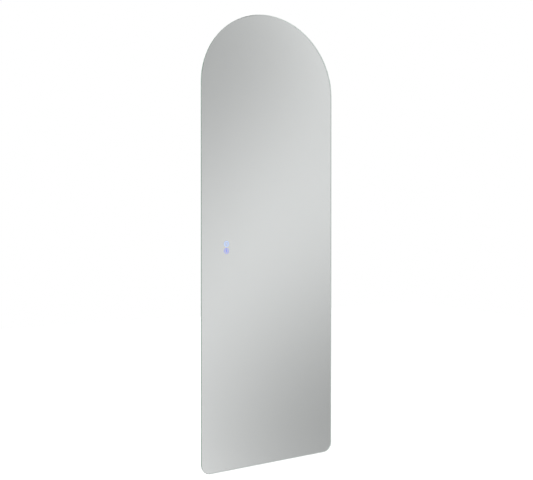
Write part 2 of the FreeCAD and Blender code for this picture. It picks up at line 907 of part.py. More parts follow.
box_left = driver_right + size.ear_length + free_length * size.box_share
box_right = box_left + size.box_length
box_middle = (box_left + box_right) / 2
box_low = tray_middle - size.box_width / 2
box_high = box_low + size.box_width
box_rim = tray_floor - size.box_depth
box_inside = tray_floor - size.box_wall
box_screw_inset = size.box_wall + size.screw_head_radius + 2 * size.pin_radius
box_spots = [(box_left + box_screw_inset, box_high - box_screw_inset),
             (box_right - box_screw_inset, box_high - box_screw_inset)]

stud_across = (box_right + tray_inside) / 2
stud_height = tray_middle - size.stud_drop


def gear_tray():
    """A folded steel tray across the frame. Its floor is towards the glass and carries the gear."""
    tray = Piece("gear_tray")
    wall = size.tray_wall
    inside = tray_inside
    back, floor = -rail_back, -tray_floor
    tray.pad("top", tray_low, size.tray_height, [[
        (-rail_end, back), (-inside, back), (-inside, floor), (inside, floor), (inside, back),
        (rail_end, back), (rail_end, back - wall), (inside + wall, back - wall),
        (inside + wall, floor - wall), (-inside - wall, floor - wall), (-inside - wall, back - wall),
        (-rail_end, back - wall),
    ]])
    tray.drill(rail_back, wall, both_sides(screw_line, tray_heights), hole_radius)
    tray.drill(tray_floor, wall, driver_spots + box_spots, hole_radius)
    tray.drill(tray_floor, wall, [(stud_across, stud_height)], size.stud_radius + size.hole_gap)
    lowest_vent = tray_middle - (size.vent_rows - 1) * size.vent_pitch / 2
    vent = tray.cut("front", tray_floor, wall, [
        slot(vent_space / 2 - inside, lowest_vent, vent_space - 2 * size.vent_margin, size.vent_width)
    ])
    tray.row(vent, "Z_Axis", size.vent_pitch, size.vent_rows)


def driver_case():
    """The half of the driver's housing that lies on the tray, with ears for its screws."""
    case = Piece("driver_case")
    wall = size.driver_wall
    outline = rounded(driver_left, driver_right, driver_low, driver_low + size.driver_width, size.driver_corner)
    inside = rectangle(driver_left + wall, driver_right - wall, driver_low + wall,
                       driver_low + size.driver_width - wall)
    case.pad("front", driver_joint, size.driver_case_depth, [outline])
    case.cut("front", driver_joint, size.driver_case_depth - wall, [inside])
    case.pad("front", tray_floor - wall - size.board_post, size.board_post,
             circles=[(x, z, size.screw_head_radius) for x, z in board_posts])
    half = size.ear_width / 2
    ears = [
        rounded(driver_left - size.ear_length, driver_left + wall, tray_middle - half, tray_middle + half,
                size.driver_wall / 2),
        rounded(driver_right - wall, driver_right + size.ear_length, tray_middle - half, tray_middle + half,
                size.driver_wall / 2),
    ]
    case.pad("front", tray_floor - size.ear_thickness, size.ear_thickness, ears)
    case.drill(tray_floor - size.ear_thickness, size.ear_thickness, driver_spots, hole_radius)


def driver_cover():
    """The other half of the housing, with a stepped roof that is lower at both ends."""
    cover = Piece("driver_cover")
    wall, step = size.driver_wall, 2 * size.driver_wall
    high = driver_low + size.driver_width
    outline = rounded(driver_left, driver_right, driver_low, high, size.driver_corner)
    cover.pad("front", driver_back + step, size.driver_cover_depth - step, [outline])
    shoulder = size.ear_width / 2
    roof = rounded(driver_left + shoulder, driver_right - shoulder, driver_low, high, size.driver_corner)
    cover.pad("front", driver_back, step, [roof])
    cover.cut("front", driver_back + step + wall, size.driver_cover_depth - step - wall, [
        rectangle(driver_left + wall, driver_right - wall, driver_low + wall, high - wall)
    ])
    cover.cut("front", driver_back + wall, step, [
        rectangle(driver_left + shoulder + wall, driver_right - shoulder - wall, driver_low + wall, high - wall)
    ])


post_inset = size.driver_wall + 2 * size.screw_head_radius
board_posts = [
    (x, z)
    for x in (driver_left + post_inset, driver_right - post_inset)
    for z in (driver_low + post_inset, driver_low + size.driver_width - post_inset)
]
board_front = tray_floor - size.driver_wall - size.board_post
board_back = board_front - size.board_thickness


def driver_board():
    """The circuit board, with the tall parts that stand on it."""
    board = Piece("driver_board")
    inset = size.driver_wall + size.board_gap
    low, high = driver_low + inset, driver_low + size.driver_width - inset
    left, right = driver_left + inset, driver_right - inset
    board.pad("front", board_back, size.board_thickness, [rectangle(left, right, low, high)])
    tall = board_back - driver_back - 2 * size.driver_wall
    capacitor = size.driver_width / 8
    filter_across = left + size.driver_length / 5
    board.pad("front", board_back - tall, tall, circles=[
        (right - size.driver_length / 4, tray_middle + capacitor, capacitor),
        (filter_across, tray_middle - capacitor, capacitor * 0.75),
        (filter_across, tray_middle + capacitor, capacitor * 0.75),
    ])
    sink_across = left + size.driver_length / 3
    sink = size.driver_width / 3
    board.pad("front", board_back - tall / 2, tall / 2, [
        rectangle(sink_across, sink_across + size.driver_wall, tray_middle - sink, tray_middle + sink)
    ])


def driver_transformer():
    """The transformer: a wound bobbin between the legs of its core."""
    transformer = Piece("driver_transformer")
    tall = board_back - driver_back - 2 * size.driver_wall
    half = size.driver_width / 5
    middle = driver_middle
    transformer.pad("front", board_back - tall, tall, [
        rectangle(middle - half, middle + half, tray_middle - half, tray_middle + half)
    ])
    transformer.pad("front", board_back - 0.8 * tall, 0.8 * tall, [
        rounded(middle - 0.7 * half, middle + 0.7 * half, tray_middle - 1.4 * half, tray_middle + 1.4 * half,
                half / 4)
    ])


# ---- the terminal box ------------------------------------------------------------------------------------

hinge_depth = box_rim - size.lid_thickness + size.knuckle_radius
hinge_height = box_high + size.knuckle_rise
barrel_left = box_middle - size.barrel_length / 2
pin_hole = size.pin_radius + size.pin_gap
clamp_across = box_middle + size.clamp_offset
clamp_height = box_low + size.clamp_rise
cable_depth = (box_rim + tray_floor) / 2
clamp_spots = [(clamp_across + step * size.clamp_screw_spacing / 2, clamp_height) for step in (-1, 1)]
clamp_front = cable_depth - size.cable_radius
clamp_back = clamp_front - size.clamp_thickness


def terminal_box():
    """The box where the mains cable is joined: open to the back, with lugs for the lid's hinge."""
    box = Piece("terminal_box")
    wall = size.box_wall
    outline = rounded(box_left, box_right, box_low, box_high, size.box_corner)
    inside = rounded(box_left + wall, box_right - wall, box_low + wall, box_high - wall, size.box_corner - wall)
    box.pad("front", box_rim, size.box_depth, [outline])
    box.cut("front", box_rim, size.box_depth - wall, [inside])
    posts = [(x, z, size.screw_head_radius) for x, z in clamp_spots]
    box.pad("front", clamp_front, box_inside - clamp_front, circles=posts)
    box.drill(clamp_front, box_inside - clamp_front, clamp_spots, hole_radius)
    saddle = size.cable_radius
    box.pad("front", cable_depth + size.cable_radius, box_inside - cable_depth - size.cable_radius, [
        rectangle(clamp_across - saddle, clamp_across + saddle, clamp_height - saddle, clamp_height + saddle)
    ])
    box.drill(box_inside, wall, box_spots, hole_radius)
    box.cut("top", box_low, wall, circles=[(clamp_across, -cable_depth, size.grommet_neck + size.hole_gap)])
    lug_starts = [barrel_left - size.clip_gap - size.knuckle_length,
                  barrel_left + size.barrel_length + size.clip_gap]
    for start in lug_starts:
        box.pad("side", start, size.knuckle_length, circles=[(-hinge_depth, hinge_height, size.knuckle_radius)])
        box.pad("side", start, size.knuckle_length, [
            rectangle(-hinge_depth - size.knuckle_radius, -hinge_depth, box_high, hinge_height)
        ])
        box.cut("side", start, size.knuckle_length, circles=[(-hinge_depth, hinge_height, pin_hole)])


def terminal_lid():
    """The lid, whose barrel turns on the pin between the box's lugs."""
    lid = Piece("terminal_lid")
    back = box_rim - size.lid_thickness
    lid.pad("front", back, size.lid_thickness, [
        rounded(box_left, box_right, box_low, box_high, size.box_corner)
    ])
    tab = size.finger_tab_width / 2
    lid.pad("front", back, size.lid_thickness, [
        rounded(box_middle - tab, box_middle + tab, box_low - size.finger_tab_length,
                box_low + size.box_corner, size.box_wall)
    ])
    lid.pad("side", barrel_left, size.barrel_length, circles=[(-hinge_depth, hinge_height, size.knuckle_radius)])
    lid.pad("side", barrel_left, size.barrel_length, [
        rectangle(-box_rim, -back, box_high - size.box_corner, hinge_height)
    ])
    lid.cut("side", barrel_left, size.barrel_length, circles=[(-hinge_depth, hinge_height, pin_hole)])


def lid_hinge_pin():
    pin = Piece("lid_hinge_pin")
    reach = size.barrel_length / 2 + size.clip_gap + size.knuckle_length + size.pin_overhang
    pin.pad("side", box_middle - reach, 2 * reach, circles=[(-hinge_depth, hinge_height, size.pin_radius)])


def terminal_block():
    """The three-pole block, with a screw well and a wire hole on each side of every pole."""
    block = Piece("terminal_block")
    middle = box_middle - size.block_offset
    half, up = size.block_length / 2, size.block_width / 2
    back = box_inside - size.block_height
    block.pad("front", back, size.block_height, [
        rectangle(middle - half, middle + half, tray_middle - up, tray_middle + up)
    ])
    poles = [middle + step * size.pole_pitch for step in (-1, 0, 1)]
    wells = [(x, tray_middle + side * up / 2, size.pole_pitch / 5) for x in poles for side in (-1, 1)]
    block.cut("front", back, size.block_height / 3, circles=wells)
    wires = [(x, -(back + size.block_height / 2), size.pole_pitch / 6) for x in poles]
    block.cut("top", tray_middle - up, 2 * up, circles=wires)
    notch = size.pole_pitch / 10
    grooves = [
        rectangle(x - notch, x + notch, tray_middle - up, tray_middle + up)
        for x in (middle - size.pole_pitch / 2, middle + size.pole_pitch / 2)
    ]
    block.cut("front", back, size.block_height / 2, grooves)


def cord_clamp():
    """The bar that holds the mains cable down on its saddle."""
    clamp = Piece("cord_clamp")
    half, up = size.clamp_length / 2, size.clamp_width / 2
    clamp.pad("front", clamp_back, size.clamp_thickness, [
        rounded(clamp_across - half, clamp_across + half, clamp_height - up, clamp_height + up, up / 2)
    ])
    clamp.drill(clamp_back, size.clamp_thickness, clamp_spots, hole_radius)


def mains_grommet():
    """The rubber grommet where the mains cable comes in from below."""
    grommet = Piece("mains_grommet")
    bore = (clamp_across, -cable_depth, size.cable_radius)

    def ring(start, length, radius):
        grommet.pad("top", start, length, circles=[(clamp_across, -cable_depth, radius), bore])

    ring(box_low - size.grommet_lip, size.grommet_lip, size.grommet_flange)
    ring(box_low, size.box_wall, size.grommet_neck)
    inner = size.grommet_flange - size.box_wall / 3
    ring(box_low + size.box_wall, size.grommet_lip - size.box_wall / 4, inner)


# ---- the touch control -----------------------------------------------------------------------------------

module_left = icon_across - size.module_width / 2
module_right = module_left + size.module_width
module_low = icon_middle - size.module_height / 2
module_high = module_low + size.module_height
module_back = silver_back - size.module_depth
touch_board_front = silver_back - size.touch_board_setback
touch_board_back = touch_board_front - size.touch_board_thickness
electrode_inner = size.lens_radius + size.electrode_gap
electrode_outer = electrode_inner + size.electrode_wall


def touch_case():
    """The control's case, open to the back, with a hole for each lit icon."""
    case = Piece("touch_case")
    wall = size.module_wall
    outline = rounded(module_left, module_right, module_low, module_high, size.module_corner)
    inside = rounded(module_left + wall, module_right - wall, module_low + wall, module_high - wall,
                     size.module_corner - wall)
    depth = size.module_depth - wall
    case.pad("front", module_back + wall, depth, [outline])
    case.cut("front", module_back + wall, depth - size.module_front, [inside])
    case.drill(silver_back - size.module_front, size.module_front,
               [(icon_across, height) for height in icon_heights], electrode_outer + size.hole_gap)


def touch_back():
    """The plate that closes the control, with four posts under its board."""
    back = Piece("touch_back")
    wall = size.module_wall
    back.pad("front", module_back, wall, [
        rounded(module_left, module_right, module_low, module_high, size.module_corner)
    ])
    inset = 3 * wall
    posts = [
        (x, z, wall)
        for x in (module_left + inset, module_right - inset)
        for z in (module_low + inset, module_high - inset)
    ]
    back.pad("front", module_back + wall, touch_board_back - module_back - wall, circles=posts)


def touch_board():
    board = Piece("touch_board")
    inset = size.module_wall + size.clip_gap
    board.pad("front", touch_board_back, size.touch_board_thickness, [
        rounded(module_left + inset, module_right - inset, module_low + inset, module_high - inset,
                size.module_wall)
    ])


def touch_lens(name, height):
    """The diffusing plug that carries the icon's light to its window."""
    lens = Piece(name)
    lens.pad("front", touch_board_front, silver_back - touch_board_front,
             circles=[(icon_across, height, size.lens_radius)])


def touch_electrodes():
    """Conductive sleeves round the plugs, pressed on the silver, that feel a finger."""
    electrodes = Piece("touch_electrodes")
    circles = []
    for height in icon_heights:
        circles.append((icon_across, height, electrode_outer))
        circles.append((icon_across, height, electrode_inner))
    electrodes.pad("front", touch_board_front, silver_back - touch_board_front, circles=circles)


# ---- the demister pad ------------------------------------------------------------------------------------

pad_low = module_high + size.pad_rise
pad_high = pad_low + size.pad_height
pad_back = film_back - size.pad_thickness


def demister_pad():
    """The heating foil on the back of the glass, with a patch where its lead is joined."""
    pad = Piece("demister_pad")
    half = size.pad_width / 2
    pad.pad("front", pad_back, size.pad_thickness, [rounded(-half, half, pad_low, pad_high, size.pad_corner)])
    pad.pad("front", pad_back - size.patch_thickness, size.patch_thickness, [
        rectangle(-half + size.pad_corner, -half + size.pad_corner + size.patch_length, pad_low,
                  pad_low + size.patch_width)
    ])


# ---- leads, clips, grommet and earth stud ----------------------------------------------------------------

lead_depth = silver_back - size.module_depth / 2
channel_middle = (size.channel_setback + channel_end) / 2 - frame_front
led_lead_height = module_high + size.led_lead_rise
lead_hole_radius = size.led_lead_diameter / 2 + size.hole_gap + size.lead_grommet_wall
driver_lead_depth = driver_joint + size.control_lead_diameter
mains_lead_depth = driver_joint + size.mains_lead_diameter / 2 + size.hole_gap
control_turn = size.control_lead_diameter * 5
tray_high = tray_low + size.tray_height
straight_low = tray_high + 2 * control_turn     # where the control's lead starts to run straight up


def leads():
    drop = size.mains_lead_diameter
    gap = box_left - driver_right
    lead("mains_lead", size.mains_lead_diameter, [
        (driver_right, mains_lead_depth, tray_middle + drop / 2),
        (driver_right + 0.3 * gap, mains_lead_depth, tray_middle + drop / 2),
        (driver_right + 0.7 * gap, mains_lead_depth, tray_middle - drop / 2),
        (box_left, mains_lead_depth, tray_middle - drop / 2),
    ])
    reach = driver_left - icon_across
    lead("control_lead", size.control_lead_diameter, [
        (driver_left, driver_lead_depth, tray_middle),
        (driver_left - reach * 0.62, driver_lead_depth, tray_middle),
        (icon_across, driver_lead_depth + 1, tray_middle + control_turn * 1.3),
        (icon_across + 1, driver_lead_depth + 3, tray_high - control_turn * 0.6),
        (icon_across, lead_depth - 1, tray_high + control_turn * 0.8),
        (icon_across, lead_depth, straight_low),
        (icon_across, lead_depth, module_low),
    ])
    web = size.mirror_width / 2 - size.web_inset + size.curve_gap
    left = icon_across - size.lead_spread
    run = web + left
    rise = size.led_lead_rise
    channel_depth = -channel_middle
    fall = lead_depth - channel_depth
    lead("led_lead", size.led_lead_diameter, [
        (left, lead_depth, module_high),
        (left, lead_depth, module_high + 0.45 * rise),
        (left - 0.3 * run, channel_depth + 0.25 * fall, module_high + 0.9 * rise),
        (left - 0.65 * run, channel_depth, led_lead_height),
        (-web, channel_depth, led_lead_height),
    ])
    patch = -size.pad_width / 2 + size.pad_corner + size.patch_length / 2
    patch_depth = pad_back - size.patch_thickness / 2
    right = icon_across + size.lead_spread
    drop = pad_low - module_high
    lead("demister_lead", size.demister_lead_diameter, [
        (patch, patch_depth, pad_low),
        (patch, patch_depth, pad_low - 0.3 * drop),
        (right, lead_depth, pad_low - 0.65 * drop),
        (right, lead_depth, module_high),
    ])
    across = stud_across - box_right
    entry = tray_floor - size.earth_lead_diameter / 2 - size.hole_gap
    height = tray_middle - size.mains_lead_diameter
    fall = height - stud_height - 2 * size.washer_radius
    lead("earth_lead", size.earth_lead_diameter, [
        (box_right, mains_lead_depth, height),
        (box_right + 0.5 * across, mains_lead_depth, height),
        (box_right + 0.95 * across, mains_lead_depth + 3, height - 0.35 * fall),
        (stud_across, entry, height - 0.68 * fall),
        (stud_across, entry, height - fall),
    ])


def cable_clips():
    """Stick-on clips that hold the control's lead against the back of the mirror."""
    clips = Piece("cable_clips")
    half = size.clip_base / 2
    bore = size.control_lead_diameter / 2 + size.hole_gap
    for share in (size.clip_share_low, size.clip_share_high):
        middle = straight_low + share * (module_low - straight_low)
        clips.pad("front", film_back - size.clip_base_thickness, size.clip_base_thickness, [
            rounded(icon_across - half, icon_across + half, middle - half, middle + half, size.clip_wall)
        ])
        low = middle - size.clip_length / 2
        neck = film_back - size.clip_base_thickness
        clips.pad("top", low, size.clip_length, [
            rectangle(icon_across - bore - size.clip_wall, icon_across + bore + size.clip_wall, -neck,
                      -(lead_depth - bore / 2))
        ])
        clips.pad("top", low, size.clip_length, circles=[(icon_across, -lead_depth, bore + size.clip_wall)])
        clips.cut("top", low, size.clip_length, circles=[(icon_across, -lead_depth, bore)])


def lead_grommet():
    """The grommet in the frame's wall where the LED lead goes through."""
    grommet = Piece("lead_grommet")
    bore = (channel_middle, led_lead_height, size.led_lead_diameter / 2 + size.hole_gap)
    neck = (channel_middle, led_lead_height, lead_hole_radius)
    flange = (channel_middle, led_lead_height, size.lead_grommet_flange)
    grommet.pad("side", -web_out, size.frame_wall, circles=[neck, bore])
    grommet.pad("side", -web_out + size.frame_wall, size.lead_grommet_wall, circles=[flange, bore])


def earth_stud():
    """The earth stud with its nut, and the ring terminal of the earth lead under it."""
    stud = Piece("earth_stud")
    x, z = stud_across, stud_height
    stud.pad("front", tray_floor - size.washer_thickness, size.washer_thickness,
             circles=[(x, z, size.washer_radius)])
    stud.pad("front", tray_floor - size.stud_length, size.stud_length + size.tray_wall,
             circles=[(x, z, size.stud_radius)])
    corner = size.nut_flats / math.sqrt(3)
    hexagon = [
        (x + corner * math.cos(math.radians(60 * turn)), z + corner * math.sin(math.radians(60 * turn)))
        for turn in range(6)
    ]
    stud.pad("front", tray_floor - size.washer_thickness - size.nut_height, size.nut_height, [hexagon])
    half = size.earth_lead_diameter / 2 + size.hole_gap
    stud.pad("front", tray_floor - 2 * half, 2 * half, [
        rectangle(x - half, x + half, z + size.washer_radius - half, z + 2 * size.washer_radius)
    ])


# ---- fasteners -------------------------------------------------------------------------------------------

def fasteners():
    frame_spots = both_sides(screw_line, splice_heights + [corner_height])
    frame_spots += both_sides(corner_across, [web_low + size.screw_inset])
    screws("frame_screws", [(frame_spots, frame_back, size.screw_length)])
    screws("rail_screws", [(both_sides(screw_line, rail_heights), frame_back, size.screw_length)])
    screws("hook_screws", [(hook_spots, rail_back - size.hook_wall, size.screw_length)])
    screws("tray_screws", [(both_sides(screw_line, tray_heights), frame_back, size.screw_length)])
    past_tray = size.tray_wall + size.hole_gap * 10
    screws("driver_screws", [
        (driver_spots, tray_floor - size.ear_thickness, size.ear_thickness + past_tray)
    ])
    screws("terminal_screws", [
        (box_spots, box_inside, size.box_wall + past_tray),
        (clamp_spots, clamp_back, size.clamp_thickness + size.screw_length),
    ])


# ---- the whole mirror ------------------------------------------------------------------------------------

mirror_glass()
silver_coating()
safety_film()
bond_tape()
frame()
led_strips()
diffusers()
splice_plates()
corner_plates()
cross_rail("cross_rail_upper", cross_upper, hook_spots)
cross_rail("cross_rail_lower", cross_lower, [])
hook_rail()
wall_cleat()
wall_bumpers()
gear_tray()
driver_case()
driver_cover()
driver_board()
driver_transformer()
terminal_box()
terminal_lid()
lid_hinge_pin()
terminal_block()
cord_clamp()
mains_grommet()
touch_case()
touch_back()
touch_board()
touch_lens("touch_lens_demist", icon_heights[0])
touch_lens("touch_lens_light", icon_heights[1])
touch_electrodes()
demister_pad()
leads()
cable_clips()
lead_grommet()
earth_stud()
fasteners()
doc.recompute()

problems = [
    f"{thing.Name} ({thing.Label}): {thing.State}" for thing in doc.Objects
    if "Invalid" in thing.State or "Error" in thing.State
]
for piece in PIECES:
    if piece.Shape.isNull() or not piece.Shape.isValid():
        problems.append(f"{piece.Label}: its shape isn't valid")
for thing in doc.Objects:
    if thing.TypeId == "PartDesign::Pocket" and thing.Shape.Volume >= thing.BaseFeature.Shape.Volume:
        problems.append(f"{thing.Name} in {thing.getParentGeoFeatureGroup().Label} cuts nothing")
if problems:
    raise RuntimeError("; ".join(problems))

os.makedirs("parts", exist_ok=True)
for piece in PIECES:
    piece.Shape.exportStep(f"parts/{piece.Label}.step")
print(f"{len(PIECES)} sub-parts, {sum(len(piece.Shape.Solids) for piece in PIECES)} solids")
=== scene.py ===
# %% [markdown]
# # A tall arch-topped bathroom mirror with a light channel round its back
#
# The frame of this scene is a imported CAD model: every piece of the mirror is already there, at its real
# size and place. Here each piece gets its finish, and the pieces whose shape matters to the eye, such as
# the etched silver, the screws and the leads, are modelled again in more detail around the same places.
#
# Everything is in metres. +Z is up, +X is to the right for someone who looks at the mirror, and the wall
# is the plane Y = 0, so the room lies towards -Y.

# %% Load the fixed frame
import math
import bpy
from mathutils import Matrix, Vector


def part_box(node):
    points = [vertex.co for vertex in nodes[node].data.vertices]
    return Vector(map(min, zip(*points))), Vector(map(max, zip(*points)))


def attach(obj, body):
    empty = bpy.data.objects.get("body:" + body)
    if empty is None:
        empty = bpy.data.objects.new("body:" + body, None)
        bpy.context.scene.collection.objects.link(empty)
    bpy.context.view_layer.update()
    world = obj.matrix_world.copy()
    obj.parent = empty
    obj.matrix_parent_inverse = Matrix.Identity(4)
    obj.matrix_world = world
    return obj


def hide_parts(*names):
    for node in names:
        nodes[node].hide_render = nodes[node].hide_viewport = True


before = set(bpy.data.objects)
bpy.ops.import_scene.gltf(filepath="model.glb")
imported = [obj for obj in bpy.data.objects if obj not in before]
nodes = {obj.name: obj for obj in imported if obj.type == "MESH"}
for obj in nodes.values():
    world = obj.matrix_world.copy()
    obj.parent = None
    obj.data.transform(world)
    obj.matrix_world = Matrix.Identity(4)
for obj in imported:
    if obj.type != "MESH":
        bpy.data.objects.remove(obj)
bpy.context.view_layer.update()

# %% [markdown]
# Sizes come from the frame wherever it can be asked. `mm` turns the millimetres of a drawing into metres,
# and `span` gives one piece's lowest and highest place along an axis.

# %% Places that several steps share
def mm(length):
    return length / 1000


def span(node, axis):
    low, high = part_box(node)
    return low["xyz".index(axis)], high["xyz".index(axis)]


lower_edge, top = span("mirror_glass", "z")
mirror_half = span("mirror_glass", "x")[1]
springing = top - mirror_half
glass_front, glass_back = span("mirror_glass", "y")
silver_front, silver_back = span("silver_coating", "y")
print(f"mirror {2 * mirror_half:.3f} wide, {top - lower_edge:.3f} high, springing at {springing:.3f}")

# %% [markdown]
# ## Camera
#
# The photograph was taken from the left, at about half the mirror's height, with an almost level camera.
# A normal lens at that spot gives the same outline to within two pixels, so it is used without a shift.

# %% Camera at the photograph's angle
LENS_MM = 43.95
CAMERA_PLACE = Vector((-1.077, -1.9361, lower_edge + 0.7608))
CAMERA_TURN_DEGREES = -29.25        # from straight on, towards the right
CAMERA_TILT_DEGREES = -0.32

scene = bpy.context.scene
camera_data = bpy.data.cameras.new("camera")
camera_data.lens = LENS_MM
camera = bpy.data.objects.new("camera", camera_data)
camera.location = CAMERA_PLACE
camera.rotation_euler = (math.radians(90 + CAMERA_TILT_DEGREES), 0, math.radians(CAMERA_TURN_DEGREES))
scene.collection.objects.link(camera)
scene.camera = camera
scene.view_settings.view_transform = "Standard"
print("camera", [round(place, 3) for place in camera.location])

# %% [markdown]
# ## Shader maths as Python
#
# A finish is a tree of nodes. `Wire` wraps one output of a node, so that an expression on wires, such as
# `1 - mask * 0.5`, adds the Math nodes by itself. `Tree` adds every other kind of node with one method.

# %% Wires and trees
class Wire:
    """One output of a node."""

    def __init__(self, tree, socket):
        self.tree = tree
        self.socket = socket

    def __getitem__(self, name):
        """Another output of the same node."""
        return Wire(self.tree, self.socket.node.outputs[name])

    def __add__(self, other):
        return self.tree.maths("ADD", self, other)

    def __sub__(self, other):
        return self.tree.maths("SUBTRACT", self, other)

    def __rsub__(self, other):
        return self.tree.maths("SUBTRACT", other, self)

    def __mul__(self, other):
        return self.tree.maths("MULTIPLY", self, other)

    def __truediv__(self, other):
        return self.tree.maths("DIVIDE", self, other)

    def __pow__(self, other):
        return self.tree.maths("POWER", self, other)

    def __gt__(self, other):
        return self.tree.maths("GREATER_THAN", self, other)

    def __abs__(self):
        return self.tree.maths("ABSOLUTE", self)

    __radd__ = __add__
    __rmul__ = __mul__


class Tree:
    """The nodes of one material, or of the world."""

    def __init__(self, owner):
        owner.use_nodes = True
        self.nodes = owner.node_tree.nodes
        self.links = owner.node_tree.links
        self.nodes.clear()

    def node(self, kind, settings=None, inputs=None, output=0):
        """Adds a node: its settings first, then its sockets' values or links."""
        node = self.nodes.new(kind)
        for name, value in (settings or {}).items():
            setattr(node, name, value)
        for name, value in (inputs or {}).items():
            if isinstance(value, Wire):
                self.links.new(value.socket, node.inputs[name])
            else:
                node.inputs[name].default_value = value
        return Wire(self, node.outputs[output] if node.outputs else None)

    def maths(self, operation, *values):
        return self.node("ShaderNodeMath", {"operation": operation}, dict(enumerate(values)))

    def smooth(self, value, low, high):
        """Rises smoothly from 0 at low to 1 at high."""
        return self.node("ShaderNodeMapRange", {"interpolation_type": "SMOOTHSTEP"},
                         {"Value": value, "From Min": low, "From Max": high})

    def mix(self, factor, first, second):
        """Blends two colours."""
        return self.node("ShaderNodeMix", {"data_type": "RGBA"}, {0: factor, 6: first, 7: second}, output=2)

    def place(self):
        """Where on the piece a point lies, in metres."""
        return self.node("ShaderNodeTexCoord", output=3)

    def axes(self, vector):
        split = self.node("ShaderNodeSeparateXYZ", {}, {0: vector})
        return split, split["Y"], split["Z"]

    def vector(self, x, y, z):
        return self.node("ShaderNodeCombineXYZ", {}, {0: x, 1: y, 2: z})

    def noise(self, vector, grain, detail=2.0):
        """Soft random patches about one grain across, in metres."""
        return self.node("ShaderNodeTexNoise", {},
                         {"Vector": vector, "Scale": 1 / grain, "Detail": detail})

    def bump(self, height, depth):
        """Raises the surface by height times depth, in metres."""
        return self.node("ShaderNodeBump", {}, {"Height": height, "Distance": depth, "Strength": 1.0})

    def surface(self, shader):
        self.node("ShaderNodeOutputMaterial", {}, {"Surface": shader})

    def principled(self, colour, roughness, metallic=0.0, normal=None, **constants):
        """The general surface shader. Other sockets are named with _ for a space."""
        inputs = {"Base Color": colour, "Roughness": roughness, "Metallic": metallic}
        if normal is not None:
            inputs["Normal"] = normal
        for name, value in constants.items():
            inputs[name.replace("_", " ")] = value
        return self.node("ShaderNodeBsdfPrincipled", {}, inputs)


def paint(red, green, blue):
    """A colour as it is picked on a screen, 0 to 255, as the shader wants it."""
    def linear(value):
        value /= 255
        return value / 12.92 if value <= 0.04045 else ((value + 0.055) / 1.055) ** 2.4
    return (linear(red), linear(green), linear(blue), 1.0)


def new_finish(name):
    """A material of its own name, beside the plain one that the frame gave each node."""
    material = bpy.data.materials.new(f"{name}_finish")
    return material, Tree(material)


def dress(material, *names):
    """Gives CAD nodes their finish."""
    for name in names:
        nodes[name].data.materials.clear()
        nodes[name].data.materials.append(material)
    print(f"{material.name}: {', '.join(names)}")

# %% [markdown]
# ## The room that the mirror shows
#
# A mirror has no colour of its own: what it shows is the room. In the photograph that is a soft grey
# sweep, brightest along a slanting band and darker at the top left and the bottom right, as a large lit
# studio wall gives. The world's strength is worked out from the direction in which a ray leaves. So the
# mirror's face shows a part of the same sweep from any view, while what lies behind it stays white.
#
# `sideways` and `upwards` are how far a ray goes across and up for each metre that it goes into the room.
# Two smooth steps along slanting lines give the two dark corners, and a few powers of the same two
# numbers add the fainter swell along the glass.

# %% World: a white backdrop with a soft grey sweep in front
BAND = 0.830                                # the level along the bright band, as seen on a screen
DARK_HIGH = 0.173                           # how much it loses towards the top left
DARK_HIGH_SLOPE = 0.5592                    # in radians
DARK_HIGH_FROM, DARK_HIGH_TO = 0.4737, 0.1265
DARK_LOW = 0.206                            # and towards the bottom right
DARK_LOW_SLOPE = 0.7505
DARK_LOW_FROM, DARK_LOW_TO = 0.3967, 0.8367
RISE_MIDDLE, RISE_HALF = -0.006, 0.39       # the part of the sweep that the glass shows, up and down
SIDE_MIDDLE, SIDE_HALF = 0.565, 0.125       # and across
SWELL = (0, 0, -0.088, 0, 0.126)            # the swell along the height, by powers of the share of it
LEAN = (0.004, -0.010, -0.012, 0.029)       # what is added towards the right, by the same powers
SIDES_LIFT = 0.010                          # and towards both sides
MIRROR_RETURN = 0.90                        # the share that silver behind green glass gives back
LEAST_FORWARD = 0.08                        # a ray along the wall would divide by nothing
BEHIND_FROM, BEHIND_TO = -0.05, 0.10        # a ray's way along Y, where the room gives over to white
BEHIND_LEVEL = 0.95

world = bpy.data.worlds.new("studio")
scene.world = world
sky = Tree(world)
across, away, up = sky.axes(sky.node("ShaderNodeTexCoord", output=0))
forward = sky.maths("MAXIMUM", away * -1, LEAST_FORWARD)
sideways, upwards = across / forward, up / forward
high_side = sideways * math.cos(DARK_HIGH_SLOPE) - upwards * math.sin(DARK_HIGH_SLOPE)
low_side = sideways * math.cos(DARK_LOW_SLOPE) - upwards * math.sin(DARK_LOW_SLOPE)


def share_of(value, middle, half):
    """From -1 to 1 across a range, and no further outside it."""
    return sky.maths("MAXIMUM", sky.maths("MINIMUM", (value - middle) / half, 1.0), -1.0)


def powers(value, factors):
    """The sum of each factor times a power of the value, from power 0 up."""
    total = factors[-1]
    for factor in reversed(factors[:-1]):
        total = total * value + factor
    return total


rise, side = share_of(upwards, RISE_MIDDLE, RISE_HALF), share_of(sideways, SIDE_MIDDLE, SIDE_HALF)
swell = powers(rise, SWELL) + side * (powers(rise, LEAN) + SIDES_LIFT * side)
screen_level = (BAND + swell - DARK_HIGH * (1 - sky.smooth(high_side, DARK_HIGH_TO, DARK_HIGH_FROM))
                - DARK_LOW * sky.smooth(low_side, DARK_LOW_FROM, DARK_LOW_TO))
sweep = ((screen_level + 0.055) / 1.055) ** 2.4 / MIRROR_RETURN     # from a level on a screen to light
behind = sky.smooth(away, BEHIND_FROM, BEHIND_TO)
level = sweep * (1 - behind) + BEHIND_LEVEL * behind
seen = sky.node("ShaderNodeLightPath")["Is Camera Ray"]
strength = seen + (1 - seen) * level
sky.node("ShaderNodeOutputWorld", {}, {
    "Surface": sky.node("ShaderNodeBackground", {}, {"Color": (1, 1, 1, 1), "Strength": strength}),
})
print("world ready")

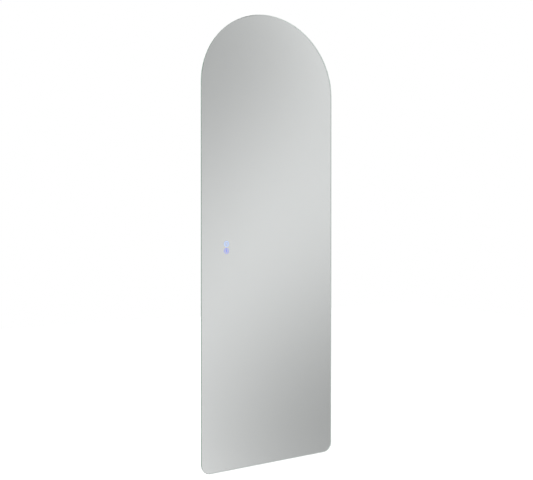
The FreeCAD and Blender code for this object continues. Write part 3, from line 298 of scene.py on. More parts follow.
# %% [markdown]
# ## Floor and lamps
#
# The mirror hangs on nothing here, so that its back can be seen too. A plain pale floor lies below it. The
# camera sees it lit from within, which makes it as pale as the backdrop and keeps a faint shadow, and
# every other ray sees plain paint. Two large soft lamps, one in front and one behind, model the edges;
# they don't show in the glass.

# %% Floor and lamps
FLOOR_DROP = 0.30
FLOOR_SIZE = 12
FLOOR_ROUGHNESS = 0.9
FLOOR_GLOW = 0.85


def select_only(*pieces):
    """Operators act on all that is selected, so everything else is let go first."""
    if bpy.context.mode != "OBJECT":
        bpy.ops.object.mode_set(mode="OBJECT")
    bpy.ops.object.select_all(action="DESELECT")
    for piece in pieces:
        piece.select_set(True)
    bpy.context.view_layer.objects.active = pieces[-1] if pieces else None


select_only()
bpy.ops.mesh.primitive_plane_add(size=FLOOR_SIZE, location=(0, 0, lower_edge - FLOOR_DROP))
floor = bpy.context.object
floor.name = "floor"
floor.visible_glossy = False
floor.visible_transmission = False
floor_paint, tree = new_finish("floor_paint")
rays = tree.node("ShaderNodeLightPath")
lit = tree.principled(paint(225, 225, 225), FLOOR_ROUGHNESS)
pale = tree.node("ShaderNodeAddShader", {}, {
    0: tree.principled(paint(150, 150, 150), FLOOR_ROUGHNESS),
    1: tree.node("ShaderNodeEmission", {}, {"Color": (1, 1, 1, 1), "Strength": FLOOR_GLOW}),
})
tree.surface(tree.node("ShaderNodeMixShader", {}, {0: rays["Is Camera Ray"], 1: lit, 2: pale}))
floor.data.materials.append(floor_paint)


def soft_lamp(name, place, watts, size):
    """A square lamp that shines at the middle of the mirror."""
    data = bpy.data.lights.new(name, "AREA")
    data.energy = watts
    data.size = size
    lamp = bpy.data.objects.new(name, data)
    lamp.location = place
    target = Vector((0, 0, (lower_edge + top) / 2))
    lamp.rotation_euler = (target - Vector(place)).to_track_quat("-Z", "Y").to_euler()
    lamp.visible_glossy = False
    lamp.visible_transmission = False
    scene.collection.objects.link(lamp)
    print(name, place, watts)


soft_lamp("front_lamp", (-1.6, -2.2, 1.2), watts=26, size=1.4)
soft_lamp("rear_lamp", (1.5, 2.1, 1.0), watts=30, size=1.2)

# %% [markdown]
# ## Float glass
#
# Seen from the front, float glass is almost clear, with a trace of green from its iron. It bends light and
# throws a little back, which one shader with full transmission does. Waviness from the float bath is far
# too faint to see, so the faces stay flat, and only the tint and the haze change very slightly.

# %% Glass
TINT_LOW, TINT_HIGH = (0.974, 0.984, 0.981, 1), (0.978, 0.986, 0.983, 1)
MOST_HAZE = 0.004
FLOAT_GLASS_IOR = 1.52

float_glass, tree = new_finish("float_glass")
haze = tree.noise(tree.place(), mm(60))
tree.surface(tree.principled(tree.mix(haze, TINT_LOW, TINT_HIGH), MOST_HAZE * haze,
                             Transmission_Weight=1.0, IOR=FLOAT_GLASS_IOR))
dress(float_glass, "mirror_glass")

# %% [markdown]
# ## A finished piece
#
# Every piece that is modelled here ends the same way: its place goes into its mesh, its faces are
# shaded smooth except at real corners, it gets its finish, it is hung from the body that it moves with,
# and the plain CAD nodes that it stands for are hidden.

# %% How a piece is finished
def finish_piece(piece, material, body="mirror", replaced=(), smooth_degrees=35):
    select_only(piece)
    bpy.ops.object.transform_apply(location=True, rotation=True, scale=True)
    bpy.ops.object.shade_smooth_by_angle(angle=math.radians(smooth_degrees))
    piece.data.materials.clear()
    piece.data.materials.append(material)
    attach(piece, body)
    if replaced:
        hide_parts(*replaced)
    print(f"{piece.name}: {len(piece.data.polygons)} faces")
    return piece


def edit(piece):
    """Goes to edit mode with nothing selected."""
    select_only(piece)
    bpy.ops.object.mode_set(mode="EDIT")
    bpy.ops.mesh.select_mode(type="FACE")
    bpy.ops.mesh.select_all(action="DESELECT")


def pick_faces(piece, wanted):
    """Selects, in edit mode, the faces whose centre and normal are wanted."""
    edit(piece)
    bpy.ops.object.mode_set(mode="OBJECT")
    for face in piece.data.polygons:
        face.select = wanted(face.center, face.normal)
    bpy.ops.object.mode_set(mode="EDIT")


def weld(piece):
    """Merges doubled corners and turns every face outwards."""
    edit(piece)
    bpy.ops.mesh.select_all(action="SELECT")
    bpy.ops.mesh.remove_doubles(threshold=1e-6)
    bpy.ops.mesh.normals_make_consistent(inside=False)
    bpy.ops.object.mode_set(mode="OBJECT")

# %% [markdown]
# ## Silver with its two icons
#
# The silver is a coat on the glass's back. Where an icon is to shine, it is etched away and the light
# plug behind shows through. One flat filled curve makes this in one go: outlines that lie inside each
# other are filled, open, filled in turn, so a ring stays open round an island of silver, and the sign
# in the island is open again. The upper sign is the common one for on and off; the lower one is three
# rising waves, for warmth. The sheet stops a hair short of the glass, because two faces in one plane
# would flicker.

# %% Outlines of the silver
ARCH_POINTS = 96
ROUND_POINTS = 48
SILVER_INSET = mm(0.8)
CORNER_RADIUS = mm(33)
ICON_RADIUS = mm(9.1)
ISLAND_RADIUS = mm(6.7)
WARM_ICON_RADIUS = mm(8.7)
WARM_ISLAND_RADIUS = mm(7.2)
SIGN_RADIUS = mm(3.9)
SIGN_START, SIGN_END = 125, 415     # degrees: the ring is open round its top, at 90
STROKE = mm(1.3)
WAVE_SWING = mm(0.6)
WAVE_PITCH = mm(3.9)
WAVES = (                           # steps from the middle, height and width of each stroke
    (-1, mm(4.6), mm(0.8)),
    (0, mm(9.8), mm(3.2)),
    (1, mm(4.6), mm(0.8)),
)


def arc(x, z, radius, start_degrees, end_degrees, count):
    """Points along an arc, both ends included."""
    angles = [math.radians(start_degrees + (end_degrees - start_degrees) * step / (count - 1))
              for step in range(count)]
    return [(x + radius * math.cos(angle), z + radius * math.sin(angle)) for angle in angles]


def disc(x, z, radius):
    return arc(x, z, radius, 0, 360 - 360 / ROUND_POINTS, ROUND_POINTS)


def mirror_outline(inset):
    half, low, radius = mirror_half - inset, lower_edge + inset, CORNER_RADIUS - inset
    return (arc(0, springing, half, 0, 180, ARCH_POINTS)
            + arc(-half + radius, low + radius, radius, 180, 270, ROUND_POINTS // 4)
            + arc(half - radius, low + radius, radius, 270, 360, ROUND_POINTS // 4))


def on_off_sign(x, z):
    """A ring that is open at the top, and a bar in the opening."""
    inner, outer = SIGN_RADIUS - STROKE / 2, SIGN_RADIUS + STROKE / 2
    ring = (arc(x, z, outer, SIGN_START, SIGN_END, ROUND_POINTS)
            + arc(x, z, inner, SIGN_END, SIGN_START, ROUND_POINTS))
    half = STROKE / 2
    bar = [(x - half, z), (x + half, z), (x + half, z + outer), (x - half, z + outer)]
    return [ring, bar]


def rising_waves(x, z):
    """Three upright wavy strokes, the middle one longer and broader."""
    strokes = []
    for step, height, stroke in WAVES:
        line = []
        for number in range(ROUND_POINTS // 2):
            share = number / (ROUND_POINTS // 2 - 1)
            sway = WAVE_SWING * math.sin(2 * math.pi * share)
            line.append((x + step * WAVE_PITCH + sway, z + height * (share - 0.5)))
        half = stroke / 2
        strokes.append([(a - half, b) for a, b in line] + [(a + half, b) for a, b in reversed(line)])
    return strokes


def middle(node):
    low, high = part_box(node)
    return (low + high) / 2


light_icon, warm_icon = middle("touch_lens_light"), middle("touch_lens_demist")
outlines = [
    mirror_outline(SILVER_INSET),
    disc(light_icon.x, light_icon.z, ICON_RADIUS),
    disc(light_icon.x, light_icon.z, ISLAND_RADIUS),
    *on_off_sign(light_icon.x, light_icon.z),
    disc(warm_icon.x, warm_icon.z, WARM_ICON_RADIUS),
    disc(warm_icon.x, warm_icon.z, WARM_ISLAND_RADIUS),
    *rising_waves(warm_icon.x, warm_icon.z),
]
print(f"{len(outlines)} outlines, {sum(len(outline) for outline in outlines)} points")

# %% The etched silver
SILVER_GAP = mm(0.03)


def flat_sheet(name, outlines, front, back):
    """A flat sheet between two places along Y."""
    curve = bpy.data.curves.new(name, "CURVE")
    curve.dimensions = "2D"
    curve.fill_mode = "BOTH"
    curve.extrude = (back - front) / 2
    for outline in outlines:
        spline = curve.splines.new("POLY")
        spline.points.add(len(outline) - 1)
        for corner, (x, z) in zip(spline.points, outline):
            corner.co = (x, z, 0, 1)
        spline.use_cyclic_u = True
    sheet = bpy.data.objects.new(name, curve)
    scene.collection.objects.link(sheet)
    select_only(sheet)
    bpy.ops.object.convert(target="MESH")
    sheet = bpy.context.object
    sheet.rotation_euler = (math.radians(90), 0, 0)
    sheet.location = (0, (front + back) / 2, 0)
    bpy.ops.object.transform_apply(location=True, rotation=True, scale=True)
    weld(sheet)
    return sheet


silver, tree = new_finish("silver")
depth = tree.axes(tree.place())[1]
painted = depth > (silver_front + silver_back) / 2
mottle = tree.noise(tree.place(), mm(40))
coat = tree.mix(painted, (0.95, 0.955, 0.955, 1), paint(112, 118, 120))
tree.surface(tree.principled(coat, painted * (0.5 + mottle * 0.1), 1 - painted))
etched = flat_sheet("etched_silver", outlines, silver_front + SILVER_GAP, silver_back)
finish_piece(etched, silver, replaced=["silver_coating"])

# %% [markdown]
# ## The green edge
#
# Light that travels along the sheet comes out at its polished edge as green. A path tracer would need very
# many bounces for that. A thin green band just inside the edge gives the same colour under the same
# gloss, with a faint painted green glow standing in for the light that the sheet brings. Its inner side is
# the one that shows through the front face, where the real sheet passes on what its silver sees, so that
# side is painted pale and given a pale glow: a painted reflection. The two sides are told apart by whether
# a face looks away from the middle of the arch.

# %% Green band inside the polished edge
EDGE_DEPTH = mm(0.12)
EDGE_THICKNESS = mm(0.3)
ARRIS = mm(0.5)
EDGE_DARK, EDGE_LIGHT = paint(34, 104, 72), paint(66, 134, 106)
# Painted light: the outer side's green glow, and the inner side's pale colour and glow, a painted reflection.
PAINTED_EDGE_GLOW = paint(16, 96, 60)
PAINTED_INSIDE_REFLECTION = paint(196, 208, 202)
PAINTED_GLOW_STRENGTH = 0.6

edge_green, tree = new_finish("edge_green")
x, _, z = tree.axes(tree.place())
normal_x, _, normal_z = tree.axes(tree.node("ShaderNodeTexCoord", output=1))
outer = (x * normal_x + (z - springing) * normal_z) > 0
polish = tree.noise(tree.place(), mm(6))
# The inner side is painted pale as a painted reflection of what the silver sees, and both sides glow with
# painted light.
edge_colour = tree.mix(outer, PAINTED_INSIDE_REFLECTION, tree.mix(polish, EDGE_DARK, EDGE_LIGHT))
glow = tree.mix(outer, PAINTED_INSIDE_REFLECTION, PAINTED_EDGE_GLOW)
tree.surface(tree.principled(edge_colour, 0.3 + 0.1 * polish, Emission_Color=glow,
                             Emission_Strength=PAINTED_GLOW_STRENGTH))
band = flat_sheet("polished_edge", [mirror_outline(EDGE_DEPTH), mirror_outline(EDGE_DEPTH + EDGE_THICKNESS)],
                  glass_front + ARRIS, glass_back - ARRIS)
finish_piece(band, edge_green)

# %% [markdown]
# ## Light plugs
#
# Each plug glows evenly, so its glow's colour and strength are set on the shader itself. A moulded plug
# still has a faint cloudiness, which goes into its colour and roughness. The upper one is clear with a
# cool blue glow, and the lower one is tinted violet.

# %% Light plugs
PLUG_GLOW = 0.9


def light_plug(name, low_colour, high_colour, glow, node):
    material, tree = new_finish(name)
    cloud = tree.noise(tree.place(), mm(2))
    tree.surface(tree.principled(tree.mix(cloud, low_colour, high_colour), 0.35 + 0.1 * cloud,
                                 Emission_Color=glow, Emission_Strength=PLUG_GLOW))
    dress(material, node)


light_plug("light_plug_acrylic", paint(214, 222, 240), paint(228, 234, 246), paint(150, 186, 255),
           "touch_lens_light")
light_plug("warm_plug_acrylic", paint(126, 140, 230), paint(140, 154, 240), paint(100, 112, 248),
           "touch_lens_demist")

# %% [markdown]
# ## Metals
#
# Extruded aluminium has fine streaks along its length. A streak is the same all along the section, so
# its noise reads only how far out a point lies and how deep: round the arch that is the distance from
# the arch's middle. Galvanised sheet has a faint spangle, a mosaic of zinc crystals a little under a
# centimetre across, each of its own grey.

# %% Anodised aluminium
def anodised(name, outwards, node):
    """Satin aluminium. Its streaks differ with outwards and with depth, and with nothing else."""
    material, tree = new_finish(name)
    x, y, z = tree.axes(tree.place())
    streak = tree.noise(tree.vector(outwards(x, z), y, 0.0), mm(0.5), 3.0)
    cloud = tree.noise(tree.place(), mm(70))
    colour = tree.mix(streak * 0.6 + cloud * 0.4, paint(178, 181, 184), paint(212, 214, 216))
    tree.surface(tree.principled(colour, 0.26 + 0.16 * streak, 1.0, tree.bump(streak, mm(0.012))))
    dress(material, node)


def from_arch_middle(x, z):
    rise = z - springing
    return (x * x + rise * rise) ** 0.5


anodised("aluminium_arch", from_arch_middle, "frame_arch")
anodised("aluminium_left", lambda x, z: x, "frame_left")
anodised("aluminium_right", lambda x, z: x, "frame_right")
anodised("aluminium_bottom", lambda x, z: z, "frame_bottom")

# %% Galvanised sheet
SPANGLE = mm(7)


def galvanised(name, light, dark, *names):
    material, tree = new_finish(name)
    place = tree.place()
    crystals = tree.node("ShaderNodeTexVoronoi", {"feature": "F1"},
                         {"Vector": place, "Scale": 1 / SPANGLE})
    crystal = tree.axes(crystals["Color"])[0]
    scuff = tree.noise(place, mm(2), 4.0)
    colour = tree.mix(crystal * 0.55 + scuff * 0.45, dark, light)
    tree.surface(tree.principled(colour, 0.34 + 0.14 * crystal + 0.08 * scuff, 0.9,
                                 tree.bump(scuff, mm(0.01))))
    dress(material, *names)


galvanised("galvanised_sheet", paint(190, 193, 196), paint(160, 164, 168),
           "gear_tray", "cross_rail_upper", "cross_rail_lower")
galvanised("galvanised_rail", paint(182, 185, 188), paint(150, 154, 158), "hook_rail", "wall_cleat")

# %% Zinc plate and brass
def plated(name, low_colour, high_colour, roughness):
    """Bright plate with faint clouds and fine rubbing marks."""
    material, tree = new_finish(name)
    place = tree.place()
    cloud = tree.noise(place, mm(6))
    rub = tree.noise(place, mm(0.3), 3.0)
    tree.surface(tree.principled(tree.mix(cloud, low_colour, high_colour), roughness + 0.12 * rub, 1.0,
                                 tree.bump(rub, mm(0.004))))
    return material


zinc = plated("zinc_plate", paint(182, 188, 196), paint(214, 217, 214), 0.22)
brass = plated("bright_brass", paint(206, 176, 104), paint(226, 202, 138), 0.2)
tinned = plated("tinned_brass", paint(206, 200, 176), paint(222, 214, 186), 0.24)
dress(zinc, "splice_plates", "corner_plates", "lid_hinge_pin", "frame_screws", "rail_screws",
      "hook_screws", "tray_screws", "driver_screws", "terminal_screws")
dress(tinned, "earth_stud", "touch_electrodes")

# %% [markdown]
# ## Plastics, rubber and foam
#
# A moulded plastic is never quite even: its tool leaves a fine grain, and its colour drifts a little.
# One function makes them all. A row of the table gives each its darkest and lightest colour, its
# roughness, how wide and how deep its grain is in millimetres, and the pieces that wear it.

# %% Moulded finishes
def moulded(name, low_colour, high_colour, roughness, grain, depth, **constants):
    material, tree = new_finish(name)
    place = tree.place()
    texture = tree.noise(place, grain, 3.0)
    drift = tree.noise(place, mm(30))
    tree.surface(tree.principled(tree.mix(drift, low_colour, high_colour), roughness + 0.1 * texture, 0.0,
                                 tree.bump(texture, depth), **constants))
    return material


for name, low_colour, high_colour, roughness, grain, depth, wearers in (
    ("driver_plastic", (204, 204, 200), (216, 216, 213), 0.46, 0.6, 0.03, ("driver_case", "driver_cover")),
    ("terminal_plastic", (190, 192, 190), (202, 204, 202), 0.5, 0.5, 0.03,
     ("terminal_box", "terminal_lid", "cord_clamp")),
    ("block_plastic", (226, 224, 214), (236, 234, 226), 0.3, 0.8, 0.01, ("terminal_block",)),
    ("touch_plastic", (34, 34, 37), (44, 44, 47), 0.48, 0.5, 0.03, ("touch_case", "touch_back")),
    ("clip_nylon", (226, 226, 220), (238, 238, 233), 0.42, 0.9, 0.01, ("cable_clips",)),
    ("soft_rubber", (30, 30, 31), (42, 42, 43), 0.72, 0.7, 0.04,
     ("wall_bumpers", "mains_grommet", "lead_grommet")),
    ("foam_tape", (44, 44, 46), (58, 58, 60), 0.85, 0.4, 0.08, ("bond_tape",)),
    ("opal_plastic", (222, 224, 226), (232, 234, 235), 0.34, 0.5, 0.008,
     ("diffuser_arch", "diffuser_left", "diffuser_right", "diffuser_bottom")),
    ("ferrite", (46, 46, 48), (64, 64, 66), 0.6, 0.4, 0.04, ("driver_transformer",)),
):
    dress(moulded(name, paint(*low_colour), paint(*high_colour), roughness, mm(grain), mm(depth)), *wearers)

# %% [markdown]
# ## Film, foil, LED tape and boards
#
# The safety film is a plastic sheet on a loose net of glass threads, which shows as a faint square
# pattern. A cosine across and a cosine up, each sharpened by a power, draw the two sets of threads.
#
# LED tape is white with yellow chips along it, and a circuit board is green with dark parts. Both
# finishes tell a chip or a part from what carries it by how far out it stands.

# %% Safety film
THREAD_PITCH = mm(4)
THREAD_SHARPNESS = 40               # the higher, the thinner a thread is beside its pitch

safety_film, tree = new_finish("safety_film")
place = tree.place()
x, _, z = tree.axes(place)
threads_up = abs(tree.maths("COSINE", x * (math.pi / THREAD_PITCH))) ** THREAD_SHARPNESS
threads_across = abs(tree.maths("COSINE", z * (math.pi / THREAD_PITCH))) ** THREAD_SHARPNESS
net = tree.maths("MAXIMUM", threads_up, threads_across)
wrinkle_and_painted_shade = tree.noise(place, mm(55), 3.0)
# The same noise shapes the wrinkles and paints the film darker where they sink: painted shade in the hollows.
# The paler threads are the net's own.
film_colour = tree.mix(net * 0.35 + wrinkle_and_painted_shade * 0.65, paint(150, 156, 160), paint(184, 188, 191))
tree.surface(tree.principled(film_colour, 0.42 + 0.12 * wrinkle_and_painted_shade, 0.0,
                             tree.bump(net * 0.5 + wrinkle_and_painted_shade * 2, mm(0.12))))
dress(safety_film, "safety_film")

# %% LED tape with its chips
CHIP_STANDS_OUT = mm(0.5)
LIGHT_CHANNEL_DEPTH = mm(8)
FRAME_INSET_LOW = mm(50)            # from the mirror's lower edge to the tape's wall
channel_floor = span("frame_right", "x")[1] - LIGHT_CHANNEL_DEPTH


def led_tape(name, outwards, wall, *names):
    """White tape; what stands further out from the frame's wall is a yellow chip."""
    material, tree = new_finish(name)
    x, _, z = tree.axes(tree.place())
    chip = outwards(x, z) > wall + CHIP_STANDS_OUT
    speck = tree.noise(tree.place(), mm(0.8), 3.0)
    colour = tree.mix(chip, tree.mix(speck, paint(232, 232, 228), paint(243, 243, 240)),
                      tree.mix(speck, paint(228, 190, 70), paint(240, 206, 92)))
    tree.surface(tree.principled(colour, 0.35 + 0.15 * speck, 0.0))
    dress(material, *names)


led_tape("led_tape_arch", from_arch_middle, channel_floor, "led_strip_arch")
led_tape("led_tape_sides", lambda x, z: abs(x), channel_floor, "led_strip_left", "led_strip_right")
led_tape("led_tape_bottom", lambda x, z: z * -1, -lower_edge - FRAME_INSET_LOW, "led_strip_bottom")

# %% Circuit boards
COPPER_PITCH = mm(2.4)
COPPER_EDGE = 0.8                   # the height of the sine above which there is copper
BOARD_THICKNESS = mm(1.7)           # a hair over the board's own, so that its face stays green
NO_PARTS = mm(1)                    # past the back of the touch board, which carries no tall parts


def circuit_board(name, populated_from, *names):
    """Green mask with fine tracks. Parts that stand further back than the board are dark."""
    material, tree = new_finish(name)
    place = tree.place()
    x, y, _ = tree.axes(place)
    sway = tree.noise(place, mm(9)) * mm(6)
    tracks = abs(tree.maths("SINE", (x + sway) * (math.pi / COPPER_PITCH))) > COPPER_EDGE
    mask = tree.mix(tracks, paint(30, 92, 56), paint(52, 120, 74))
    part = y > populated_from
    grain = tree.noise(place, mm(0.6))
    tree.surface(tree.principled(tree.mix(part, mask, paint(34, 36, 44)), 0.28 + 0.2 * grain, 0.0,
                                 tree.bump(tracks, mm(0.03)), Coat_Weight=0.2))
    dress(material, *names)


circuit_board("driver_board_mask", span("driver_board", "y")[0] + BOARD_THICKNESS, "driver_board")
circuit_board("touch_board_mask", span("touch_board", "y")[1] + NO_PARTS, "touch_board")

# %% Heater foil
heater_foil, tree = new_finish("heater_foil")
place = tree.place()
crease_and_painted_shade = tree.noise(place, mm(14), 5.0)
fine = tree.noise(place, mm(1.2), 2.0)
# The same noise shapes the creases and paints the foil darker where they sink: painted shade in the hollows.
foil_colour = tree.mix(crease_and_painted_shade, paint(196, 198, 200), paint(222, 223, 224))
tree.surface(tree.principled(foil_colour, 0.3 + 0.2 * fine, 0.75, tree.bump(crease_and_painted_shade * 3 + fine, mm(0.12)),
                             Coat_Weight=0.5))
dress(heater_foil, "demister_pad")

# %% [markdown]
# ## The heater's track
#
# The demister is one long resistive track, laid to and fro between two films. It is cut from a single
# plane: bisecting the plane along every edge of the track leaves a grid of strips, and the strips that
# aren't track are deleted, except for one short link at alternate ends. A Solidify modifier then gives
# it its thickness.

# %% Heater track
TRACK_WIDTH = mm(3.2)
TRACK_ROWS = 22
TRACK_MARGIN = mm(9)
PATCH_HEIGHT = mm(14)               # room below the track for the patch where the lead joins
TRACK_THICKNESS = mm(0.15)
FOIL_THICKNESS = mm(0.6)
CUT_TOLERANCE = mm(0.1)


def lay_track(foil_back):
    low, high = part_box("demister_pad")
    left, right = low.x + TRACK_MARGIN, high.x - TRACK_MARGIN
    bottom, above = low.z + TRACK_MARGIN + PATCH_HEIGHT, high.z - TRACK_MARGIN
    pitch = (above - bottom - TRACK_WIDTH) / (TRACK_ROWS - 1)
    bpy.ops.mesh.primitive_plane_add(size=1, rotation=(math.radians(90), 0, 0),
                                     location=((left + right) / 2, foil_back, (bottom + above) / 2))
    track = bpy.context.object
    track.name = "heater_track"
    track.scale = (right - left, above - bottom, 1)
    bpy.ops.object.transform_apply(location=True, rotation=True, scale=True)
    edit(track)
    for x in (left + TRACK_WIDTH, right - TRACK_WIDTH):
        bpy.ops.mesh.select_all(action="SELECT")
        bpy.ops.mesh.bisect(plane_co=(x, 0, 0), plane_no=(1, 0, 0))
    for row in range(TRACK_ROWS):
        for z in (bottom + row * pitch, bottom + row * pitch + TRACK_WIDTH):
            if bottom + CUT_TOLERANCE < z < above - CUT_TOLERANCE:
                bpy.ops.mesh.select_all(action="SELECT")
                bpy.ops.mesh.bisect(plane_co=(0, 0, z), plane_no=(0, 0, 1))

    def is_gap(centre, normal):
        """Between two rows, all but the link at one end: the left in odd rows, or else the right."""
        row, above_row = divmod(centre.z - bottom, pitch)
        if above_row < TRACK_WIDTH:
            return False
        return centre.x > left + TRACK_WIDTH if row % 2 else centre.x < right - TRACK_WIDTH

    pick_faces(track, is_gap)
    bpy.ops.mesh.delete(type="FACE")
    bpy.ops.object.mode_set(mode="OBJECT")
    thicken = track.modifiers.new("thickness", "SOLIDIFY")
    thicken.thickness = TRACK_THICKNESS
    thicken.offset = 0
    bpy.ops.object.modifier_apply(modifier=thicken.name)
    weld(track)
    return track


select_only()
track_finish = plated("heater_alloy", paint(120, 112, 100), paint(140, 130, 116), 0.4)
finish_piece(lay_track(span("demister_pad", "y")[0] + FOIL_THICKNESS), track_finish)

# %% [markdown]
# ## Screws
#
# A pan head is a cylinder whose back rim is beveled into a dome, with a cross recess cut by two crossed
# bars. The shank is extruded from a disc in short steps, wider and narrower in turn, so that it reads as
# a thread. One screw is made per length and copied to every place where the CAD has a plain one. Where
# those are is measured on a merged copy of each node, parted into its separate solids.

# %% One recessed screw
SCREW_RADIUS = mm(1.75)
HEAD_RADIUS = mm(3.4)
HEAD_HEIGHT = mm(2)
HEAD_SIDES = 28
DOME_SHARE = 0.55                   # the part of the head's height that is rounded
RECESS_ARM = mm(1.9)
RECESS_WIDTH = mm(0.75)
RECESS_DEPTH = mm(1.2)
THREAD_STEP = mm(0.55)
THREAD_ROOT = 0.86                  # the shank's radius between the ridges, beside that on them
SHANK_SIDES = 14
FACES_BACK = 0.9                    # how nearly a face's normal points away from the glass


def cut_away(piece, cutter):
    """Takes the cutter's shape out of the piece."""
    select_only(piece)
    cutting = piece.modifiers.new("recess", "BOOLEAN")
    cutting.operation = "DIFFERENCE"
    cutting.solver = "EXACT"
    cutting.object = cutter
    bpy.ops.object.modifier_apply(modifier=cutting.name)
    bpy.data.objects.remove(cutter, do_unlink=True)


def bar(size, place):
    select_only()
    bpy.ops.mesh.primitive_cube_add(size=1, location=place)
    block = bpy.context.object
    block.scale = size
    bpy.ops.object.transform_apply(location=True, rotation=True, scale=True)
    return block


def screw_head(radius, height, arms):
    """A domed head with its seat at Y = 0, and a slot or a cross in its top."""
    select_only()
    bpy.ops.mesh.primitive_cylinder_add(vertices=HEAD_SIDES, radius=radius, depth=height,
                                        location=(0, height / 2, 0), rotation=(math.radians(90), 0, 0))
    head = bpy.context.object
    bpy.ops.object.transform_apply(location=True, rotation=True, scale=True)
    pick_faces(head, lambda centre, normal: normal.y > FACES_BACK)
    bpy.ops.mesh.bevel(offset=height * DOME_SHARE, segments=4, affect="EDGES")
    bpy.ops.object.mode_set(mode="OBJECT")
    for across, up_and_down in arms:
        cut_away(head, bar((across, 2 * RECESS_DEPTH, up_and_down), (0, height, 0)))
    return head


def threaded_shank(length):
    """A shank that reaches from Y = 0 towards the glass."""
    select_only()
    bpy.ops.mesh.primitive_circle_add(vertices=SHANK_SIDES, radius=SCREW_RADIUS * THREAD_ROOT,
                                      fill_type="NGON", rotation=(math.radians(90), 0, 0))
    shank = bpy.context.object
    bpy.ops.object.transform_apply(location=True, rotation=True, scale=True)
    pick_faces(shank, lambda centre, normal: True)
    steps = 2 * int(length / THREAD_STEP / 2)
    for step in range(steps):
        bpy.ops.mesh.extrude_region_move(TRANSFORM_OT_translate={"value": (0, -length / steps, 0)})
        grow = 1 / THREAD_ROOT if step % 2 == 0 else THREAD_ROOT
        bpy.ops.transform.resize(value=(grow, 1, grow))
    bpy.ops.object.mode_set(mode="OBJECT")
    return shank


def recessed_screw(length):
    cross = [(2 * RECESS_ARM, RECESS_WIDTH), (RECESS_WIDTH, 2 * RECESS_ARM)]
    head = screw_head(HEAD_RADIUS, HEAD_HEIGHT, cross)
    shank = threaded_shank(length)
    select_only(shank, head)
    bpy.ops.object.join()
    screw = bpy.context.object
    weld(screw)
    return screw


# %% Where the CAD's screws are
def solids_of(node):
    """The corners of each separate solid in a CAD node, found on a merged copy of it."""
    copy = bpy.data.objects.new("measured", nodes[node].data.copy())
    scene.collection.objects.link(copy)
    weld(copy)
    edit(copy)
    bpy.ops.mesh.select_all(action="SELECT")
    bpy.ops.mesh.separate(type="LOOSE")
    bpy.ops.object.mode_set(mode="OBJECT")
    found = []
    for solid in list(bpy.context.selected_objects):
        corners = [corner.co for corner in solid.data.vertices]
        low = Vector([min(corner[axis] for corner in corners) for axis in range(3)])
        high = Vector([max(corner[axis] for corner in corners) for axis in range(3)])
        found.append((low, high))
        bpy.data.objects.remove(solid, do_unlink=True)
    return sorted(found, key=lambda box: tuple(round(place, 4) for place in box[0]))


def copied_to(model, places, name):
    """One object with a copy of the model's mesh at every place."""
    copies = []
    for number, place in enumerate(places):
        copy = bpy.data.objects.new(f"{name}_{number}", model.data.copy())
        copy.data.transform(Matrix.Translation(place))
        scene.collection.objects.link(copy)
        copies.append(copy)
    select_only(*copies)
    bpy.ops.object.join()
    joined = bpy.context.object
    joined.name = name
    return joined


# %% Screws in their places
for node in ("frame_screws", "rail_screws", "hook_screws", "tray_screws", "driver_screws",
             "terminal_screws"):
    groups = {}
    for low, high in solids_of(node):
        length = round(high.y - low.y - HEAD_HEIGHT, 4)
        seat = Vector(((low.x + high.x) / 2, high.y - HEAD_HEIGHT, (low.z + high.z) / 2))
        groups.setdefault(length, []).append(seat)
    sets = []
    for length, seats in sorted(groups.items()):
        model = recessed_screw(length)
        sets.append(copied_to(model, seats, f"{node}_{round(length * 1e4)}"))
        bpy.data.objects.remove(model, do_unlink=True)
    select_only(*sets)
    if len(sets) > 1:
        bpy.ops.object.join()
    whole = bpy.context.object
    whole.name = node.replace("_screws", "_recessed_screws")
    finish_piece(whole, zinc, replaced=[node])

# %% [markdown]
# ## Terminal screws
#
# The terminal block is the reason for the box, so it gets its slotted brass screws: two for each of its
# three poles, deep in their wells. They are the same domed head as before, smaller and with one bar cut
# from it.

# %% Slotted brass screws in the block
WELL_RADIUS = mm(2.1)
WELL_DEPTH = mm(4.6)
POLE_PITCH = mm(10.5)
ROW_OFFSET = mm(4.5)
BLOCK_HEAD_RADIUS = WELL_RADIUS * 0.9
BLOCK_HEAD_HEIGHT = mm(1.6)
SLOT_LENGTH, SLOT_WIDTH = 4 * WELL_RADIUS, mm(0.6)

block_low, block_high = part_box("terminal_block")
block_middle = (block_low + block_high) / 2
select_only()
model = screw_head(BLOCK_HEAD_RADIUS, BLOCK_HEAD_HEIGHT, [(SLOT_LENGTH, SLOT_WIDTH)])
seats = [
    Vector((block_middle.x + pole * POLE_PITCH, block_high.y - WELL_DEPTH, block_middle.z + row * ROW_OFFSET))
    for pole in (-1, 0, 1) for row in (-1, 1)
]
block_screws = copied_to(model, seats, "block_screws")
bpy.data.objects.remove(model, do_unlink=True)
weld(block_screws)
finish_piece(block_screws, brass)

# %% [markdown]
# ## Leads
#
# A lead inside the mirror is held at both ends, so it follows the route of its plain CAD tube. A NURBS
# curve of order 3 with the same control points bends evenly, and its round bevel gives a smooth sheath.
# Three thinner cores run inside the terminal box, each from where its lead comes in to a pole of the block.

# %% Sheaths
STRIPE_EDGE = (-0.15, -0.05)        # where the earth's green turns yellow, by the normal's depth
LEAD_STEPS = 10
CORE_DIAMETER = 1.7                 # in millimetres, as the routes are


def sheath(name, low_colour, high_colour):
    return moulded(name, low_colour, high_colour, 0.4, mm(1.5), mm(0.02), Coat_Weight=0.15)


black_sheath = sheath("black_sheath", paint(36, 36, 38), paint(48, 48, 50))
grey_sheath = sheath("grey_sheath", paint(196, 197, 198), paint(208, 209, 210))
brown_core = sheath("brown_core", paint(104, 66, 44), paint(118, 76, 52))
blue_core = sheath("blue_core", paint(44, 92, 168), paint(56, 106, 184))

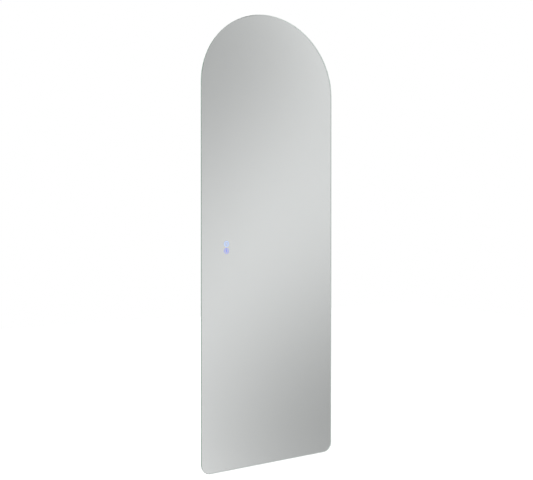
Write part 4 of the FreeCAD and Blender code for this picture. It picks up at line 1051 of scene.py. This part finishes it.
earth_sheath, tree = new_finish("earth_sheath")
facing_back = tree.axes(tree.node("ShaderNodeTexCoord", output=1))[1]
stripe = tree.smooth(facing_back, *STRIPE_EDGE)
wear = tree.noise(tree.place(), mm(3))
tree.surface(tree.principled(tree.mix(stripe, paint(60, 140, 62), paint(226, 208, 58)), 0.36 + 0.1 * wear))


def lead(name, route, diameter, material, replaced=()):
    """A sheath along a route of (x, depth from the wall, z), in millimetres."""
    curve = bpy.data.curves.new(name, "CURVE")
    curve.dimensions = "3D"
    spline = curve.splines.new("NURBS")
    spline.points.add(len(route) - 1)
    for corner, (x, depth, z) in zip(spline.points, route):
        corner.co = (mm(x), -mm(depth), mm(z), 1)
    spline.order_u = 3
    spline.use_endpoint_u = True
    curve.resolution_u = LEAD_STEPS
    curve.bevel_depth = mm(diameter) / 2
    curve.bevel_resolution = 5
    curve.use_fill_caps = True
    line = bpy.data.objects.new(name, curve)
    scene.collection.objects.link(line)
    select_only(line)
    bpy.ops.object.convert(target="MESH")
    line = bpy.context.object
    weld(line)
    return finish_piece(line, material, replaced=replaced, smooth_degrees=50)


# %% Leads in their places
lead("mains_lead_sheath", [(12, 18.5, -692), (26.5, 18.5, -692), (45.7, 18.5, -698), (60.2, 18.5, -698)],
     6, black_sheath, replaced=["mains_lead"])
lead("control_lead_sheath", [
    (-122, 19, -695), (-146, 19, -695), (-160.5, 20, -671.6), (-159.5, 22, -640.8), (-160.5, 27.2, -615.6),
    (-160.5, 28.2, -594), (-160.5, 28.2, -580), (-160.5, 28.2, -520), (-160.5, 28.2, -456),
], 3.6, grey_sheath, replaced=["control_lead"])
lead("led_lead_sheath", [
    (-168, 28.2, -394), (-168, 28.2, -376), (-177.6, 20.1, -358), (-188.8, 17.4, -354), (-200, 17.4, -354),
], 3, grey_sheath, replaced=["led_lead"])
lead("demister_lead_sheath", [
    (-112, 30.3, -330), (-112, 30.3, -349.2), (-153, 28.2, -371.6), (-153, 28.2, -394),
], 2.6, black_sheath, replaced=["demister_lead"])
lead("earth_lead_sheath", [
    (150.2, 18.5, -701), (158.4, 18.5, -701), (165.8, 21.5, -709.4), (166.6, 26, -717.3), (166.6, 26, -725),
], 2.6, earth_sheath, replaced=["earth_lead"])

# %% Cores inside the terminal box
lead("live_core", [(62.2, 17.6, -696.6), (65.5, 17.6, -694), (64.6, 16.5, -684), (70, 16, -680.4),
                   (74.6, 17, -680.6), (74.7, 18.4, -687)], CORE_DIAMETER, brown_core)
lead("neutral_core", [(62.2, 19.4, -699.4), (66.5, 19.4, -703), (69, 18.6, -708), (78, 18, -710.4),
                      (85.2, 18.4, -709), (85.2, 18.4, -703)], CORE_DIAMETER, blue_core)
lead("earth_core", [(148.2, 18.5, -701), (140, 18, -700), (128, 17.4, -692), (112, 17, -683),
                    (97, 17.4, -679), (95.7, 18.4, -687)], CORE_DIAMETER, earth_sheath)
